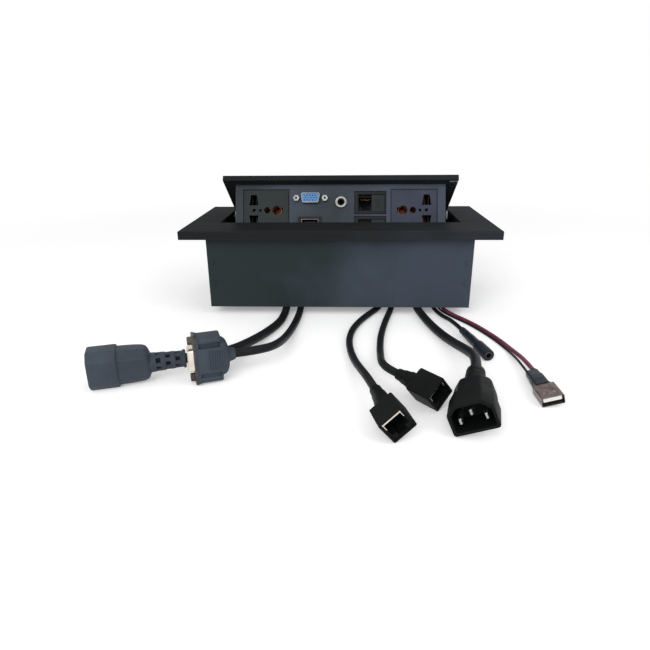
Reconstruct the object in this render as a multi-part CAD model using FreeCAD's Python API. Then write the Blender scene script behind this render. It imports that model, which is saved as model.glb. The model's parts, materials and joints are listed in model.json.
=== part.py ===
import FreeCAD, Part
import math
import os

# Table connection box: a flip-up socket module in a bezel frame over a sheet-steel housing,
# with its seven captive leads. Millimetres. The origin is the bottom centre of the box,
# +X runs to the right of its front, +Y to the rear and +Z up.

Vec = FreeCAD.Vector
os.makedirs("parts", exist_ok=True)

# Bezel frame
box_height = 74.0
bezel_depth = 130.0
bezel_edge = 7.0
bezel_plate = 3.6
bezel_rim = 3.0
front_strip = 39.2
rear_strip = 17.2
side_strip = 26.0
collar_wall = 3.0
collar_boss_z = 6.0
bezel_bevel = 0.5

# Housing and bottom cover, folded from one thickness of sheet
sheet = 1.2
housing_side_gap = 6.0
housing_setback = 9.1
cable_slot = 7.2
corner_cut = 30.0
side_flange = 8.0
end_flange = 4.9
clamp_hole_radius = 2.15
clamp_hole_spacing = 50.0
clamp_hole_z = 40.0
cover_lift = 2.0
cover_gap = 0.2
cover_tab = 10.0
bay_rear_y = -5.0
bay_roof_z = 18.0
bay_lip = 9.0

# Fasteners
screw_radius = 1.5
screw_head_radius = 2.7
screw_head_height = 1.7
screw_socket_radius = 1.0
screw_socket_depth = 0.9
rivet_radius = 1.2
rivet_head_radius = 1.9
rivet_head_height = 0.8
bezel_screw_reach = 2.8
bezel_screw_spacing = 40.0
cover_screw_start = 20.0
cover_screw_inset = 12.5
rivet_inset = 4.0
rivet_z = (28.5, 46.0)
rivet_tail = 0.6

# Hinge: the module turns about a line along X
hinge_rear_gap = 6.1
hinge_depth = 5.0
open_angle = 35.7
pin_radius = 2.0
pin_play = 0.05
pin_end_gap = 0.7
washer_radius = 4.3
washer_thickness = 1.5
hinge_block_gap = 0.1
hinge_block_width = 6.7
hinge_block_length = 18.0
hinge_block_drop = 4.6
hinge_block_rear = 3.3
hinge_block_corner = 2.0
hinge_screw_drop = 2.3
hinge_screw_start = 3.2
hinge_screw_pitch = 6.0
hinge_screw_reach = 4.5
hinge_screw_head_radius = 2.2
hinge_screw_head_height = 1.2
hinge_screw_room = 0.6
stop_angle = 48.0
stop_reach = 40.0
stop_radius = 2.0
stop_gap = 0.3

# Lid
lid_thickness = 4.8
lid_front_gap = 0.7
lid_side_gap = 2.0
lid_rear_gap = 2.6
lid_rear_bevel = 1.0
lid_bevel = 0.4
lid_pocket = 2.8
lid_screw_reach = 3.2
lid_screw_inset = 14.0
lid_screw_edge = 8.0
lid_overhang = 10.0

# Module panel, leaning back under the lid
panel_margin = 6.6
panel_slant = 50.0
panel_lean = 14.6
panel_sheet = 1.5
panel_recess = 8.0
panel_lip = 8.0
panel_flange_gap = 0.1
cheek_reach = 31.0
cheek_rise = 8.4
cheek_rear = 2.0
cheek_drop = 15.0

# Universal sockets: everything is measured from the middle of the socket's cut-out,
# u away from the middle of the panel and v up
socket_gap = 3.4
socket_top = 3.9
socket_width = 41.2
socket_height = 40.0
socket_groove = 1.3
socket_ledge = 1.4
socket_flange = 1.9
socket_body_width = 36.0
socket_body_height = 30.0
socket_body_depth = 17.6
socket_line = 1.5
slot_u = 11.0
slot_near = 4.4
slot_far = 13.6
slot_near_half = 4.15
slot_far_half = 2.65
small_hole_u = (10.8, 5.2)
small_hole_radius = (1.55, 1.3)
round_hole_u = -0.9
round_hole_radius = 2.9
earth_hole_u = -9.3
earth_hole_radius = 3.95
earth_slot_end = 14.7
earth_slot_half = 2.4
contact_sheet = 0.6
contact_depth = 13.0
contact_gap = 3.2
contact_height = 8.0
contact_inset = 0.8
contact_grip = 0.3
contact_play = 0.1
contact_slit = 0.7
contact_bridge = 2.0
chamber_half_width = 4.6
chamber_half_height = 5.0
chamber_end = 1.0
earth_chamber_near = 3.2
earth_chamber_margin = 0.6
earth_chamber_half = 5.2

# Screen socket, fifteen ways
vga_gap = 1.8
vga_z = -12.2
vga_width = 16.9
vga_height = 8.4
vga_wall = 0.5
vga_slant = 10.0
vga_corner = 1.6
vga_front = 4.4
vga_flange_width = 30.8
vga_flange_height = 12.5
vga_flange = 0.8
vga_post_spacing = 25.0
vga_post_radius = 2.75
vga_post_front = 3.0
vga_post_tail = 7.0
vga_insert_depth = 12.0
vga_insert_back = 0.9
vga_pin_pitch = 2.3
vga_row_pitch = 1.98
vga_pin_radius = 0.5

# Video socket below it
hdmi_x = -26.1
hdmi_z = -33.3
hdmi_surround_width = 21.0
hdmi_surround_height = 10.4
hdmi_proud = 0.8
hdmi_width = 15.0
hdmi_height = 6.0
hdmi_wall = 0.5
hdmi_bevel = 1.4
hdmi_depth = 11.5
hdmi_body_wall = 0.9
hdmi_tongue_width = 11.4
hdmi_tongue_height = 1.9
hdmi_tongue_start = 2.0

# Sound socket
audio_x = 1.1
audio_z = -15.4
audio_nut_radius = 5.2
audio_nut_height = 1.7
audio_bush_radius = 3.2
audio_bore_radius = 1.85
audio_body = 11.0
audio_body_depth = 14.0

# Charging socket
usb_x = 1.1
usb_z = -38.2
usb_width = 13.1
usb_height = 5.8
usb_wall = 0.4
usb_depth = 13.5
usb_proud = 0.6
usb_tongue_width = 11.0
usb_tongue_height = 1.8
usb_tongue_start = 1.5
usb_base = 2.5

# Network sockets, one above the other
net_x = 26.7
net_top_z = -15.8
net_pitch = 21.8
net_width = 28.2
net_height = 20.4
net_groove = 0.6
net_flange = 1.8
net_flange_margin = 1.6
net_flange_height = 21.2
net_window_width = 23.5
net_window_height = 14.6
net_window_x = 1.25
net_port_x = -4.2
net_port_width = 11.4
net_port_height = 8.4
net_latch_width = 6.2
net_latch_height = 2.8
net_port_depth = 13.0
net_jack_width = 15.6
net_jack_height = 14.4
net_jack_depth = 18.0
shutter_width = 11.6
shutter_sheet = 1.2
shutter_play = 0.2
shutter_tongue = 0.7
shutter_recess = 0.9
shutter_grip = 0.5

# Touch latch on the right-hand wall and its striker under the lid
latch_setback = 6.8
latch_width = 12.0
latch_length = 10.0
latch_height = 25.0
latch_drop = 6.0
latch_cap = 3.0
latch_floor = 2.0
plunger_inset = 8.0
plunger_radius = 2.5
plunger_play = 0.15
plunger_collar = 3.3
plunger_collar_height = 1.6
plunger_tip_gap = 0.3
plunger_travel = 4.0
spring_wire = 0.35
spring_radius = 2.4
spring_turns = 6
striker_sheet = 1.0
striker_width = 7.0
striker_length = 10.0
striker_edge = 0.5
striker_shift = 1.0

# Cable comb: a rubber strip in the step of the bottom cover
comb_z = 7.0
comb_bottom = 1.4
comb_top = 13.4
comb_front = 10.0
comb_margin = 5.5
comb_play = 0.12
comb_slot_rise = 0.5
comb_slot_margin = 2.2

# Leads
mains_radius = 3.3
vga_cord_radius = 2.9
net_cord_radius = 2.6
audio_cord_radius = 1.7
usb_red_radius = 1.5
usb_dark_radius = 0.8

# Mains plugs, fifteen-millimetre pins in a shroud
plug_width = 25.2
plug_height = 17.8
plug_bevel = 5.0
plug_corner = 2.0
plug_shroud = 17.5
plug_wall = 2.0
plug_cavity = 15.5
plug_body = 19.0
plug_shoulder = 4.5
plug_relief = 22.0
plug_relief_radius = 6.4
plug_relief_tip = 5.2
plug_step = 1.0
ring_count = 3
ring_start = 3.0
ring_pitch = 6.0
ring_width = 2.6
ring_depth = 0.9
ring_bridge = 2.2
plug_pin_spacing = 14.0
plug_pin_offset = 4.0
plug_pin_width = 4.0
plug_pin_sheet = 2.0
plug_pin_tip = 2.5

# Screen lead's socket
hood_length = 20.5
hood_height = 31.0
hood_width = 15.0
hood_body_height = 23.0
hood_wing_length = 16.0
hood_stub_radius = 4.4
hood_stub = 4.0
hood_bevel = 1.6
hood_flange_height = 33.8
hood_post_spacing = 25.0
hood_shell_front = 4.8
hood_back_bevel = 3.0
hood_wing_inset = 1.0
hood_groove_inner = 8.2
hood_groove_outer = 11.6
hood_groove_depth = 2.5
hood_groove_margin = 2.2
hood_rib_start = 3.6
hood_rib_pitch = 1.5
hood_rib_width = 0.7
hood_rib_depth = 0.5
hood_rib_half = 6.0

# Network lead sockets
coupler_width = 15.6
coupler_height = 15.0
coupler_length = 18.4
coupler_relief_left = 22.0
coupler_relief_right = 16.0
coupler_relief_back = 3.6
coupler_relief_front = 5.6
coupler_edge = 0.9
coupler_port_depth = 12.0

# Sound lead socket
inline_radius = 4.2
inline_length = 18.5
inline_neck = 15.0
inline_neck_radius = 3.3
inline_relief = 15.5
inline_relief_radius = 2.6
inline_bore_depth = 15.0

# Charging lead socket
usb_boot_width = 8.8
usb_boot_height = 6.4
usb_boot_length = 20.0
usb_boot_offset = 2.2
usb_shell_width = 13.1
usb_shell_height = 5.8
usb_shell_length = 16.5
usb_shell_base = 3.0
usb_shell_wall = 0.5
usb_shell_tongue_height = 1.9
usb_shell_tongue_width = 10.6

# Routes of the leads, from the rear of the comb to what each ends in
comb_mains_left = -46.6
comb_vga = -34.0
comb_net_left = 40.5
comb_net_right = 48.5
comb_mains_right = 66.0
comb_audio = 79.6
comb_usb_dark = 84.8
comb_usb_red = 88.6
mains_left_route = [(-46.6, -24.0, 7.0), (-46.0, -43.0, 3.5), (-45.6, -63.0, 3.4), (-47.4, -84.0, 3.4),
                    (-55.2, -107.0, 3.7), (-62.4, -130.6, 6.6), (-68.1, -147.1, 9.2),
                    (-73.0, -158.1, 11.1), (-79.6, -166.2, 12.4), (-88.2, -172.2, 13.0),
                    (-98.2, -175.6, 13.0)]
vga_route = [(-34.0, -24.0, 7.0), (-33.4, -44.0, 3.1), (-33.6, -67.0, 3.0), (-35.2, -88.0, 3.2),
             (-36.9, -108.5, 4.9), (-38.7, -128.0, 7.6), (-40.6, -144.5, 11.2), (-43.4, -157.0, 14.0),
             (-48.7, -166.1, 16.0), (-56.3, -172.3, 17.0), (-65.4, -175.8, 17.0)]
net_left_route = [(40.5, -24.0, 7.0), (35.6, -42.0, 2.8), (26.6, -58.5, 2.7), (17.6, -77.0, 2.7),
                  (11.2, -97.0, 2.7), (8.6, -117.5, 2.7), (9.6, -138.5, 2.9), (12.6, -159.0, 4.4),
                  (16.6, -178.6, 7.4), (20.0, -196.3, 10.8), (23.8, -211.5, 10.8)]
net_right_route = [(48.5, -24.0, 7.0), (46.0, -43.0, 2.8), (41.3, -64.0, 2.7), (36.7, -86.0, 2.7),
                   (32.9, -109.0, 2.7), (31.0, -131.5, 2.8), (30.4, -151.0, 4.6), (29.9, -166.0, 7.8),
                   (31.2, -177.4, 10.0), (34.2, -184.9, 10.8), (38.8, -190.6, 10.8)]
mains_right_route = [(66.0, -24.0, 7.0), (67.2, -43.0, 3.5), (69.8, -64.0, 3.4), (73.6, -86.0, 3.4),
                     (78.8, -107.5, 3.7), (84.2, -128.5, 5.6), (88.8, -149.8, 9.4), (91.0, -170.5, 13.4),
                     (86.1, -189.9, 13.4)]
audio_route = [(79.6, -24.0, 7.0), (82.0, -42.0, 2.2), (86.6, -60.8, 1.8), (92.3, -79.7, 4.2),
               (96.0, -99.6, 4.2)]
usb_dark_route = [(84.8, -24.0, 7.0), (86.2, -41.9, 1.5), (94.0, -58.7, 0.9), (104.4, -75.3, 0.9),
                  (112.3, -93.5, 0.9), (118.9, -113.4, 0.9), (123.2, -134.3, 1.2), (123.2, -155.9, 4.1),
                  (123.4, -174.9, 4.1)]
usb_red_route = [(88.6, -24.0, 7.0), (89.0, -41.5, 2.3), (96.4, -57.6, 1.6), (106.6, -74.2, 1.6),
                 (114.6, -92.6, 1.6), (121.4, -112.8, 1.6), (125.8, -133.8, 1.9), (127.4, -155.9, 4.7),
                 (127.8, -174.9, 4.7)]

# How far what the leads end in has rolled about its lead
mains_left_roll = -90.0
mains_right_roll = 24.0
coupler_roll = 40.0
usb_roll = 14.6

# Leads inside the box: how far each runs straight out of its socket, then its drop behind the
# module as (x, y), and the heights and the place at which all of them turn towards the comb
inner_mains_left = (12.0, -60.0, 38.0)
inner_vga = (16.0, -28.0, 36.0)
inner_net_upper = (14.0, 26.0, 41.0)
inner_net_lower = (10.0, 33.0, 31.0)
inner_mains_right = (12.0, 65.0, 38.0)
inner_drop_z = 42.0
inner_low_z = 21.0
inner_low_step = 3.0
inner_low_share = 0.6
inner_turn_y = 17.0

# Values worked out from the ones above
bezel_bottom = box_height - bezel_edge
plate_under = box_height - bezel_plate
bezel_y = bezel_depth / 2
socket_x = net_x + net_width / 2 + socket_gap + socket_width / 2
vga_x = -socket_x + socket_width / 2 + socket_ledge + vga_gap + vga_flange_width / 2
panel_x = socket_x + socket_width / 2 + panel_margin
lid_x = panel_x + lid_overhang
opening_x = lid_x + lid_side_gap
bezel_x = opening_x + side_strip
opening_front = front_strip - bezel_y
opening_rear = bezel_y - rear_strip
wall_x = opening_x + housing_side_gap
wall_y = bezel_y - housing_setback
inner_x = wall_x - sheet
inner_y = wall_y - sheet
lid_front = opening_front + lid_front_gap
lid_rear = opening_rear - lid_rear_gap
lid_under = box_height - lid_thickness
panel_top_y = lid_front + panel_recess
socket_z = -socket_top - socket_height / 2
socket_back = panel_sheet + socket_flange
hinge_y = opening_rear - hinge_rear_gap
hinge_z = box_height - hinge_depth
hinge_block_x = panel_x + hinge_block_gap
hinge_block_front = hinge_y + hinge_block_rear - hinge_block_length
panel_flange_rear = hinge_block_front - panel_flange_gap
stop_from_closed = math.radians(stop_angle)
stop_open_z = bezel_bottom - hinge_z - stop_gap - stop_radius
stop_closed_y = -stop_reach * math.cos(stop_from_closed) - stop_open_z * math.sin(stop_from_closed)
stop_closed_z = -stop_reach * math.sin(stop_from_closed) + stop_open_z * math.cos(stop_from_closed)
bay_front_y = bay_rear_y - sheet
comb_front_y = bay_front_y - comb_front
latch_y = opening_front + latch_setback
latch_top = bezel_bottom - latch_drop
latch_bottom = latch_top - latch_height
plunger_x = inner_x - plunger_inset


def block(x0, x1, y0, y1, z0, z1):
    """A box between two corners."""
    return Part.makeBox(x1 - x0, y1 - y0, z1 - z0, Vec(x0, y0, z0))


def rod(radius, start, end):
    """A cylinder from one point to another."""
    way = Vec(*end) - Vec(*start)
    return Part.makeCylinder(radius, way.Length, Vec(*start), way)


def taper(radius_start, radius_end, start, end):
    """A cone from one point to another."""
    way = Vec(*end) - Vec(*start)
    return Part.makeCone(radius_start, radius_end, way.Length, Vec(*start), way)


def prism_x(points, x0, x1):
    """An outline of (y, z) points carried along X."""
    corners = [Vec(x0, y, z) for y, z in points]
    face = Part.Face(Part.makePolygon(corners + corners[:1]))
    return face.extrude(Vec(x1 - x0, 0, 0))


def prism_y(points, y0, y1):
    """An outline of (x, z) points carried along Y."""
    corners = [Vec(x, y0, z) for x, z in points]
    face = Part.Face(Part.makePolygon(corners + corners[:1]))
    return face.extrude(Vec(0, y1 - y0, 0))


def mirrored(shape):
    """The same shape on the other side of the middle."""
    return shape.mirror(Vec(0, 0, 0), Vec(1, 0, 0))


def edges_along(shape, axis, test):
    """The straight edges along an axis whose middle passes the test."""
    chosen = []
    for edge in shape.Edges:
        if not isinstance(edge.Curve, Part.Line):
            continue
        if abs(abs(edge.Curve.Direction.dot(axis)) - 1) > 1e-6:
            continue
        if test(edge.CenterOfMass):
            chosen.append(edge)
    return chosen


def save(name, shapes):
    """Write one node, as one solid or a group of separate ones."""
    solids = shapes if isinstance(shapes, list) else [shapes]
    whole = Part.makeCompound(solids) if len(solids) > 1 else solids[0]
    whole.exportStep(f"parts/{name}.step")


def opened(shape):
    """From the closed lid to the pose in which the module stands open."""
    turned = shape.copy()
    turned.rotate(Vec(0, hinge_y, hinge_z), Vec(1, 0, 0), -open_angle)
    return turned


def on_panel(shape):
    """From the panel's own frame, y into the box and z up its face from the top edge."""
    placed = shape.copy()
    placed.rotate(Vec(0, 0, 0), Vec(1, 0, 0), panel_lean)
    placed.translate(Vec(0, panel_top_y, lid_under))
    return opened(placed)


def panel_point(x, y, z):
    """A point of the panel's own frame as it lies in the open pose."""
    vertex = on_panel(Part.Vertex(Vec(x, y, z)))
    return (vertex.X, vertex.Y, vertex.Z)


def along_lead(shape, route, roll=0.0, sideways=0.0):
    """From a frame with y along a lead's last, level run and z up to where that lead ends."""
    placed = shape.copy()
    placed.rotate(Vec(0, 0, 0), Vec(0, 1, 0), roll)
    placed.translate(Vec(sideways, 0, 0))
    way = Vec(*route[-1]) - Vec(*route[-2])
    placed.rotate(Vec(0, 0, 0), Vec(0, 0, 1), math.degrees(math.atan2(way.y, way.x)) - 90)
    placed.translate(Vec(*route[-1]))
    return placed


def screw(seat, way, reach, head_radius=screw_head_radius, head_height=screw_head_height,
          radius=screw_radius, socket=screw_socket_radius):
    """A screw or rivet whose head sits on a seat and whose shank runs the given way."""
    base = Vec(*seat)
    direction = Vec(*way)
    shank = Part.makeCylinder(radius, reach, base, direction)
    head = Part.makeCylinder(head_radius, head_height, base, direction * -1)
    rim = max(head.Edges, key=lambda edge: (edge.CenterOfMass - base).dot(direction * -1))
    head = head.makeFillet(min(head_height, head_radius) * 0.4, [rim])
    body = shank.fuse(head)
    if socket:
        drive = Part.makeCylinder(socket, screw_socket_depth, base - direction * head_height, direction)
        body = body.cut(drive)
    return body.removeSplitter()


def route_wire(points):
    """Straight runs joined by tangent arcs, each as large as its two runs allow."""
    spots = [Vec(*point) for point in points]
    edges = []
    last = spots[0]
    smallest = None
    for before, corner, after in zip(spots, spots[1:], spots[2:]):
        inward = (corner - before).normalize()
        outward = (after - corner).normalize()
        turn = inward.getAngle(outward)
        reach = 0.45 * min((corner - before).Length, (after - corner).Length)
        radius = reach / math.tan(turn / 2)
        smallest = radius if smallest is None else min(smallest, radius)
        arc_start = corner - inward * reach
        arc_end = corner + outward * reach
        middle = (arc_start + arc_end) * 0.5
        centre = corner + (middle - corner).normalize() * (radius / math.cos(turn / 2))
        arc_middle = centre + (corner - centre).normalize() * radius
        edges.append(Part.LineSegment(last, arc_start).toShape())
        edges.append(Part.Arc(arc_start, arc_middle, arc_end).toShape())
        last = arc_end
    edges.append(Part.LineSegment(last, spots[-1]).toShape())
    return Part.Wire(edges), smallest


def lead(name, points, radius):
    """The tube of one lead, with its smallest bend and its volume printed."""
    wire, smallest = route_wire(points)
    start = Vec(*points[0])
    way = Vec(*points[1]) - start
    section = Part.Wire([Part.Circle(start, way, radius).toShape()])
    tube = wire.makePipeShell([section], True, False)
    expected = math.pi * radius * radius * wire.Length
    print(f"{name}: length {wire.Length:.1f}, smallest radius {smallest:.1f} "
          f"({smallest / radius / 2:.1f} diameters), "
          f"volume {tube.Volume / expected:.4f} of section times length")
    return tube


def outer_lead(name, comb_x, route, radius):
    """A lead outside the box, from the rear of the comb to its plug or socket."""
    return lead(name, [comb_start(comb_x)] + route, radius)


def comb_start(x):
    """Where a lead passes the rear face of the comb."""
    return (x, bay_rear_y, comb_z)


def d_prism(width, height, corner, y0, y1):
    """A D-shaped bar along Y, wider at the top, with rounded corners."""
    lean = height * math.tan(math.radians(vga_slant))
    body = prism_y([(-width / 2, height / 2), (width / 2, height / 2),
                    (width / 2 - lean, -height / 2), (-width / 2 + lean, -height / 2)], y0, y1)
    corners = edges_along(body, Vec(0, 1, 0), lambda middle: True)
    return body.makeFillet(corner, corners)


def bezel_frame():
    """Frame with a hollow underside, an inner collar and a boss for each hinge pin."""
    body = block(-bezel_x, bezel_x, -bezel_y, bezel_y, bezel_bottom, box_height)
    top_edges = [edge for edge in body.Edges if abs(edge.CenterOfMass.z - box_height) < 1e-6]
    body = body.makeChamfer(bezel_bevel, top_edges)
    hollow = block(-bezel_x + bezel_rim, bezel_x - bezel_rim, -bezel_y + bezel_rim, bezel_y - bezel_rim,
                   bezel_bottom, plate_under)
    collar = block(-opening_x - collar_wall, opening_x + collar_wall, opening_front - collar_wall,
                   opening_rear + collar_wall, bezel_bottom, plate_under)
    body = body.cut(hollow).fuse(collar)
    boss = block(opening_x, inner_x - 2 * cover_gap, hinge_y - collar_boss_z,
                 opening_rear + collar_wall, hinge_z - collar_boss_z, plate_under)
    body = body.fuse([boss, mirrored(boss)])
    body = body.cut(block(-opening_x, opening_x, opening_front, opening_rear, 0, box_height + 1))
    bore = rod(pin_radius, (-wall_x, hinge_y, hinge_z), (wall_x, hinge_y, hinge_z))
    body = body.cut(bore)
    for spot in bezel_screw_spots():
        body = body.cut(rod(screw_radius, spot, (spot[0], spot[1], plate_under + bezel_screw_reach)))
    return body.removeSplitter()


def bezel_screw_spots():
    """Where the housing's flange is screwed up into the bezel."""
    x = wall_x + side_flange / 2
    rows = (-bezel_screw_spacing, 0.0, bezel_screw_spacing)
    return [(side * x, y, plate_under) for side in (-1, 1) for y in rows]


def housing_shell():
    """Four walls with an outward flange at the top, and a slot for the leads under the front."""
    walls = block(-wall_x, wall_x, -wall_y, wall_y, 0, plate_under)
    walls = walls.cut(block(-inner_x, inner_x, -inner_y, inner_y, -1, plate_under + 1))
    flange = block(-wall_x - side_flange, wall_x + side_flange, -wall_y - end_flange, wall_y + end_flange,
                   plate_under - sheet, plate_under)
    flange = flange.cut(block(-inner_x, inner_x, -inner_y, inner_y, 0, box_height))
    body = walls.fuse(flange)
    body = body.cut(block(-wall_x - 1, wall_x + 1, -wall_y - 1, -wall_y + corner_cut, -1, cable_slot))
    for spot in bezel_screw_spots():
        low = (spot[0], spot[1], spot[2] - 2 * sheet)
        body = body.cut(rod(screw_radius + cover_gap, low, spot))
    for y in (-clamp_hole_spacing / 2, clamp_hole_spacing / 2):
        body = body.cut(rod(clamp_hole_radius, (-wall_x - 1, y, clamp_hole_z), (wall_x + 1, y, clamp_hole_z)))
    for seat, way in cover_screw_spots() + rivet_spots():
        radius = screw_radius if (seat, way) in cover_screw_spots() else rivet_radius
        end = tuple(seat[i] + way[i] * 2 * sheet for i in range(3))
        body = body.cut(rod(radius, seat, end))
    return body.removeSplitter()


def cover_screw_spots():
    """Screws through the side walls into the bottom cover's tabs, as (seat, way)."""
    z = cover_lift + cover_tab * 0.6
    rows = (bay_rear_y + cover_screw_start, inner_y - cover_gap - cover_screw_inset)
    return [((side * wall_x, y, z), (-side, 0, 0)) for side in (-1, 1) for y in rows]


def rivet_spots():
    """Rivets near the ends of the front wall, as (seat, way)."""
    x = wall_x - rivet_inset
    return [((side * x, -wall_y, z), (0, 1, 0)) for side in (-1, 1) for z in rivet_z]


def bottom_cover():
    """Cover that steps up at the front into a bay over the leads, held by tabs at its sides."""
    x = inner_x - cover_gap
    rear = inner_y - cover_gap
    front = -inner_y + cover_gap
    low = block(-x, x, bay_front_y, rear, cover_lift, cover_lift + sheet)
    step = block(-x, x, bay_front_y, bay_rear_y, cover_lift, bay_roof_z)
    roof = block(-x, x, front, bay_rear_y, bay_roof_z - sheet, bay_roof_z)
    lip = block(-x, x, front, front + sheet, bay_roof_z - sheet, bay_roof_z + bay_lip)
    tab = block(x - sheet, x, 4.0, rear, cover_lift, cover_lift + cover_tab + sheet)
    body = low.fuse([step, roof, lip, tab, mirrored(tab)])
    for seat, way in cover_screw_spots():
        end = tuple(seat[i] + way[i] * 4 * sheet for i in range(3))
        body = body.cut(rod(screw_radius, seat, end))
    slot_left = comb_mains_left - mains_radius - comb_slot_margin
    slot_right = comb_usb_red + usb_red_radius + comb_slot_margin
    slot = block(slot_left, slot_right, bay_front_y - 1, bay_rear_y + 1,
                 comb_z - mains_radius - comb_slot_rise, comb_z + mains_radius + comb_slot_rise)
    return body.cut(slot).removeSplitter()


def comb_bores():
    """Each lead's place in the comb and its radius."""
    return [(comb_mains_left, mains_radius), (comb_vga, vga_cord_radius), (comb_net_left, net_cord_radius),
            (comb_net_right, net_cord_radius), (comb_mains_right, mains_radius),
            (comb_audio, audio_cord_radius), (comb_usb_dark, usb_dark_radius),
            (comb_usb_red, usb_red_radius)]


def cable_comb():
    """Rubber strip that plugs into the step's slot and grips every lead in a bore of its own."""
    left = comb_mains_left - mains_radius - comb_margin
    right = comb_usb_red + usb_red_radius + comb_margin
    strip = block(left, right, comb_front_y, bay_front_y, comb_bottom, comb_top)
    strip = strip.makeFillet(1.2, edges_along(strip, Vec(0, 1, 0), lambda middle: True))
    plug = block(comb_mains_left - mains_radius - comb_slot_margin + 0.1,
                 comb_usb_red + usb_red_radius + comb_slot_margin - 0.1, bay_front_y, bay_rear_y,
                 comb_z - mains_radius - comb_slot_rise + 0.1,
                 comb_z + mains_radius + comb_slot_rise - 0.1)
    strip = strip.fuse(plug)
    for x, radius in comb_bores():
        bore = rod(radius + comb_play, (x, comb_front_y - 1, comb_z), (x, bay_rear_y + 1, comb_z))
        strip = strip.cut(bore)
    return strip.removeSplitter()


def bezel_screws():
    """Screws that hold the housing's flange under the bezel."""
    return [screw((x, y, z - sheet), (0, 0, 1), sheet + bezel_screw_reach - 0.2)
            for x, y, z in bezel_screw_spots()]


def cover_screws():
    """Screws through the side walls into the bottom cover."""
    return [screw(seat, way, 3 * sheet) for seat, way in cover_screw_spots()]


def corner_rivets():
    """Small rivets near the ends of the front wall."""
    return [screw(seat, way, sheet + rivet_tail, rivet_head_radius, rivet_head_height, rivet_radius, 0)
            for seat, way in rivet_spots()]


def pivot_pins():
    """Two dowels fixed in the bezel's bosses, on which the module turns."""
    outer = inner_x - 3 * cover_gap
    pin = rod(pin_radius, (hinge_block_x + pin_end_gap, hinge_y, hinge_z), (outer, hinge_y, hinge_z))
    pin = pin.makeChamfer(0.3, [edge for edge in pin.Edges if isinstance(edge.Curve, Part.Circle)])
    return [pin, mirrored(pin)]


def friction_washers():
    """A washer on each dowel, between the lid's edge and the bezel's collar."""
    inner = lid_x + (lid_side_gap - washer_thickness) / 2
    washer = rod(washer_radius, (inner, hinge_y, hinge_z), (inner + washer_thickness, hinge_y, hinge_z))
    washer = washer.cut(rod(pin_radius + pin_play, (lid_x, hinge_y, hinge_z), (wall_x, hinge_y, hinge_z)))
    return [washer, mirrored(washer)]


def latch_body():
    """Latch case on the right-hand wall, with a bore for the plunger and its spring."""
    body = block(inner_x - latch_width, inner_x, latch_y - latch_length / 2, latch_y + latch_length / 2,
                 latch_bottom, latch_top)
    body = body.makeFillet(0.8, edges_along(body, Vec(0, 0, 1), lambda middle: middle.x < inner_x - 1))
    wide = rod(plunger_collar + plunger_play, (plunger_x, latch_y, latch_bottom + latch_floor),
               (plunger_x, latch_y, latch_top - latch_cap))
    narrow = rod(plunger_radius + plunger_play, (plunger_x, latch_y, latch_top - latch_cap),
                 (plunger_x, latch_y, latch_top + 1))
    return body.cut(wide).cut(narrow)


def latch_plunger():
    """Plunger that the closed lid rests on, and that gives when the lid is pressed."""
    tip = lid_under - striker_sheet - plunger_tip_gap
    collar_top = latch_top - latch_cap - 0.2
    stem = rod(plunger_radius, (plunger_x, latch_y, collar_top), (plunger_x, latch_y, tip))
    crown = [edge for edge in stem.Edges if abs(edge.CenterOfMass.z - tip) < 1e-6]
    stem = stem.makeFillet(0.8, crown)
    collar = rod(plunger_collar, (plunger_x, latch_y, collar_top - plunger_collar_height),
                 (plunger_x, latch_y, collar_top))
    return stem.fuse(collar).removeSplitter()


def latch_spring():
    """Coil spring between the floor of the latch case and the plunger's collar."""
    bottom = latch_bottom + latch_floor + spring_wire + 0.1
    top = latch_top - latch_cap - 0.2 - plunger_collar_height - spring_wire - 0.1
    pitch = (top - bottom) / spring_turns
    helix = Part.makeHelix(pitch, top - bottom, spring_radius)
    section = Part.Wire([Part.Circle(Vec(spring_radius, 0, 0), Vec(0, 1, 0), spring_wire).toShape()])
    coil = Part.Wire(helix.Edges).makePipeShell([section], True, True)
    coil.translate(Vec(plunger_x, latch_y, bottom))
    return coil


def lid_plate():
    """Lid with a pocket and a notch at each rear corner for its hinge block and dowel."""
    body = block(-lid_x, lid_x, lid_front, lid_rear, lid_under, box_height)
    rear = [edge for edge in body.Edges if abs(edge.CenterOfMass.y - lid_rear) < 1e-6
            and abs(edge.CenterOfMass.z - box_height) < 1e-6]
    body = body.makeChamfer(lid_rear_bevel, rear)
    front = [edge for edge in body.Edges if abs(edge.CenterOfMass.y - lid_front) < 1e-6
             and abs(edge.CenterOfMass.z - box_height) < 1e-6]
    body = body.makeChamfer(lid_bevel, front)
    outer = hinge_block_x + hinge_block_width + 0.2
    pocket = block(hinge_block_x - 0.2, outer, hinge_block_front - 0.2, lid_rear + 1,
                   lid_under - 1, lid_under + lid_pocket)
    notch = rod(pin_radius + 0.3, (outer - 1, hinge_y, hinge_z), (lid_x + 1, hinge_y, hinge_z))
    body = body.cut([pocket, mirrored(pocket), notch, mirrored(notch)])
    for x, y in lid_screw_spots():
        body = body.cut(rod(screw_radius, (x, y, lid_under - 1), (x, y, lid_under + lid_screw_reach)))
    return opened(body.removeSplitter())


def lid_screw_spots():
    """Where the panel's top flange is screwed up into the lid."""
    rows = (panel_top_y + lid_screw_edge, panel_flange_rear - lid_screw_edge)
    columns = (-panel_x + lid_screw_inset, 0.0, panel_x - lid_screw_inset)
    return [(x, y) for x in columns for y in rows]


def cheek_outline():
    """A cheek's outline in the closed pose, from the panel back to the hinge."""
    lean = math.radians(panel_lean)
    low_y = panel_top_y + panel_slant * math.sin(lean)
    low_z = lid_under - panel_slant * math.cos(lean)
    rear = hinge_y + cheek_rear
    return [(panel_top_y, lid_under), (low_y, low_z), (low_y + cheek_reach, low_z + cheek_rise),
            (rear, hinge_z - cheek_drop), (rear, lid_under)]


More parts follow.
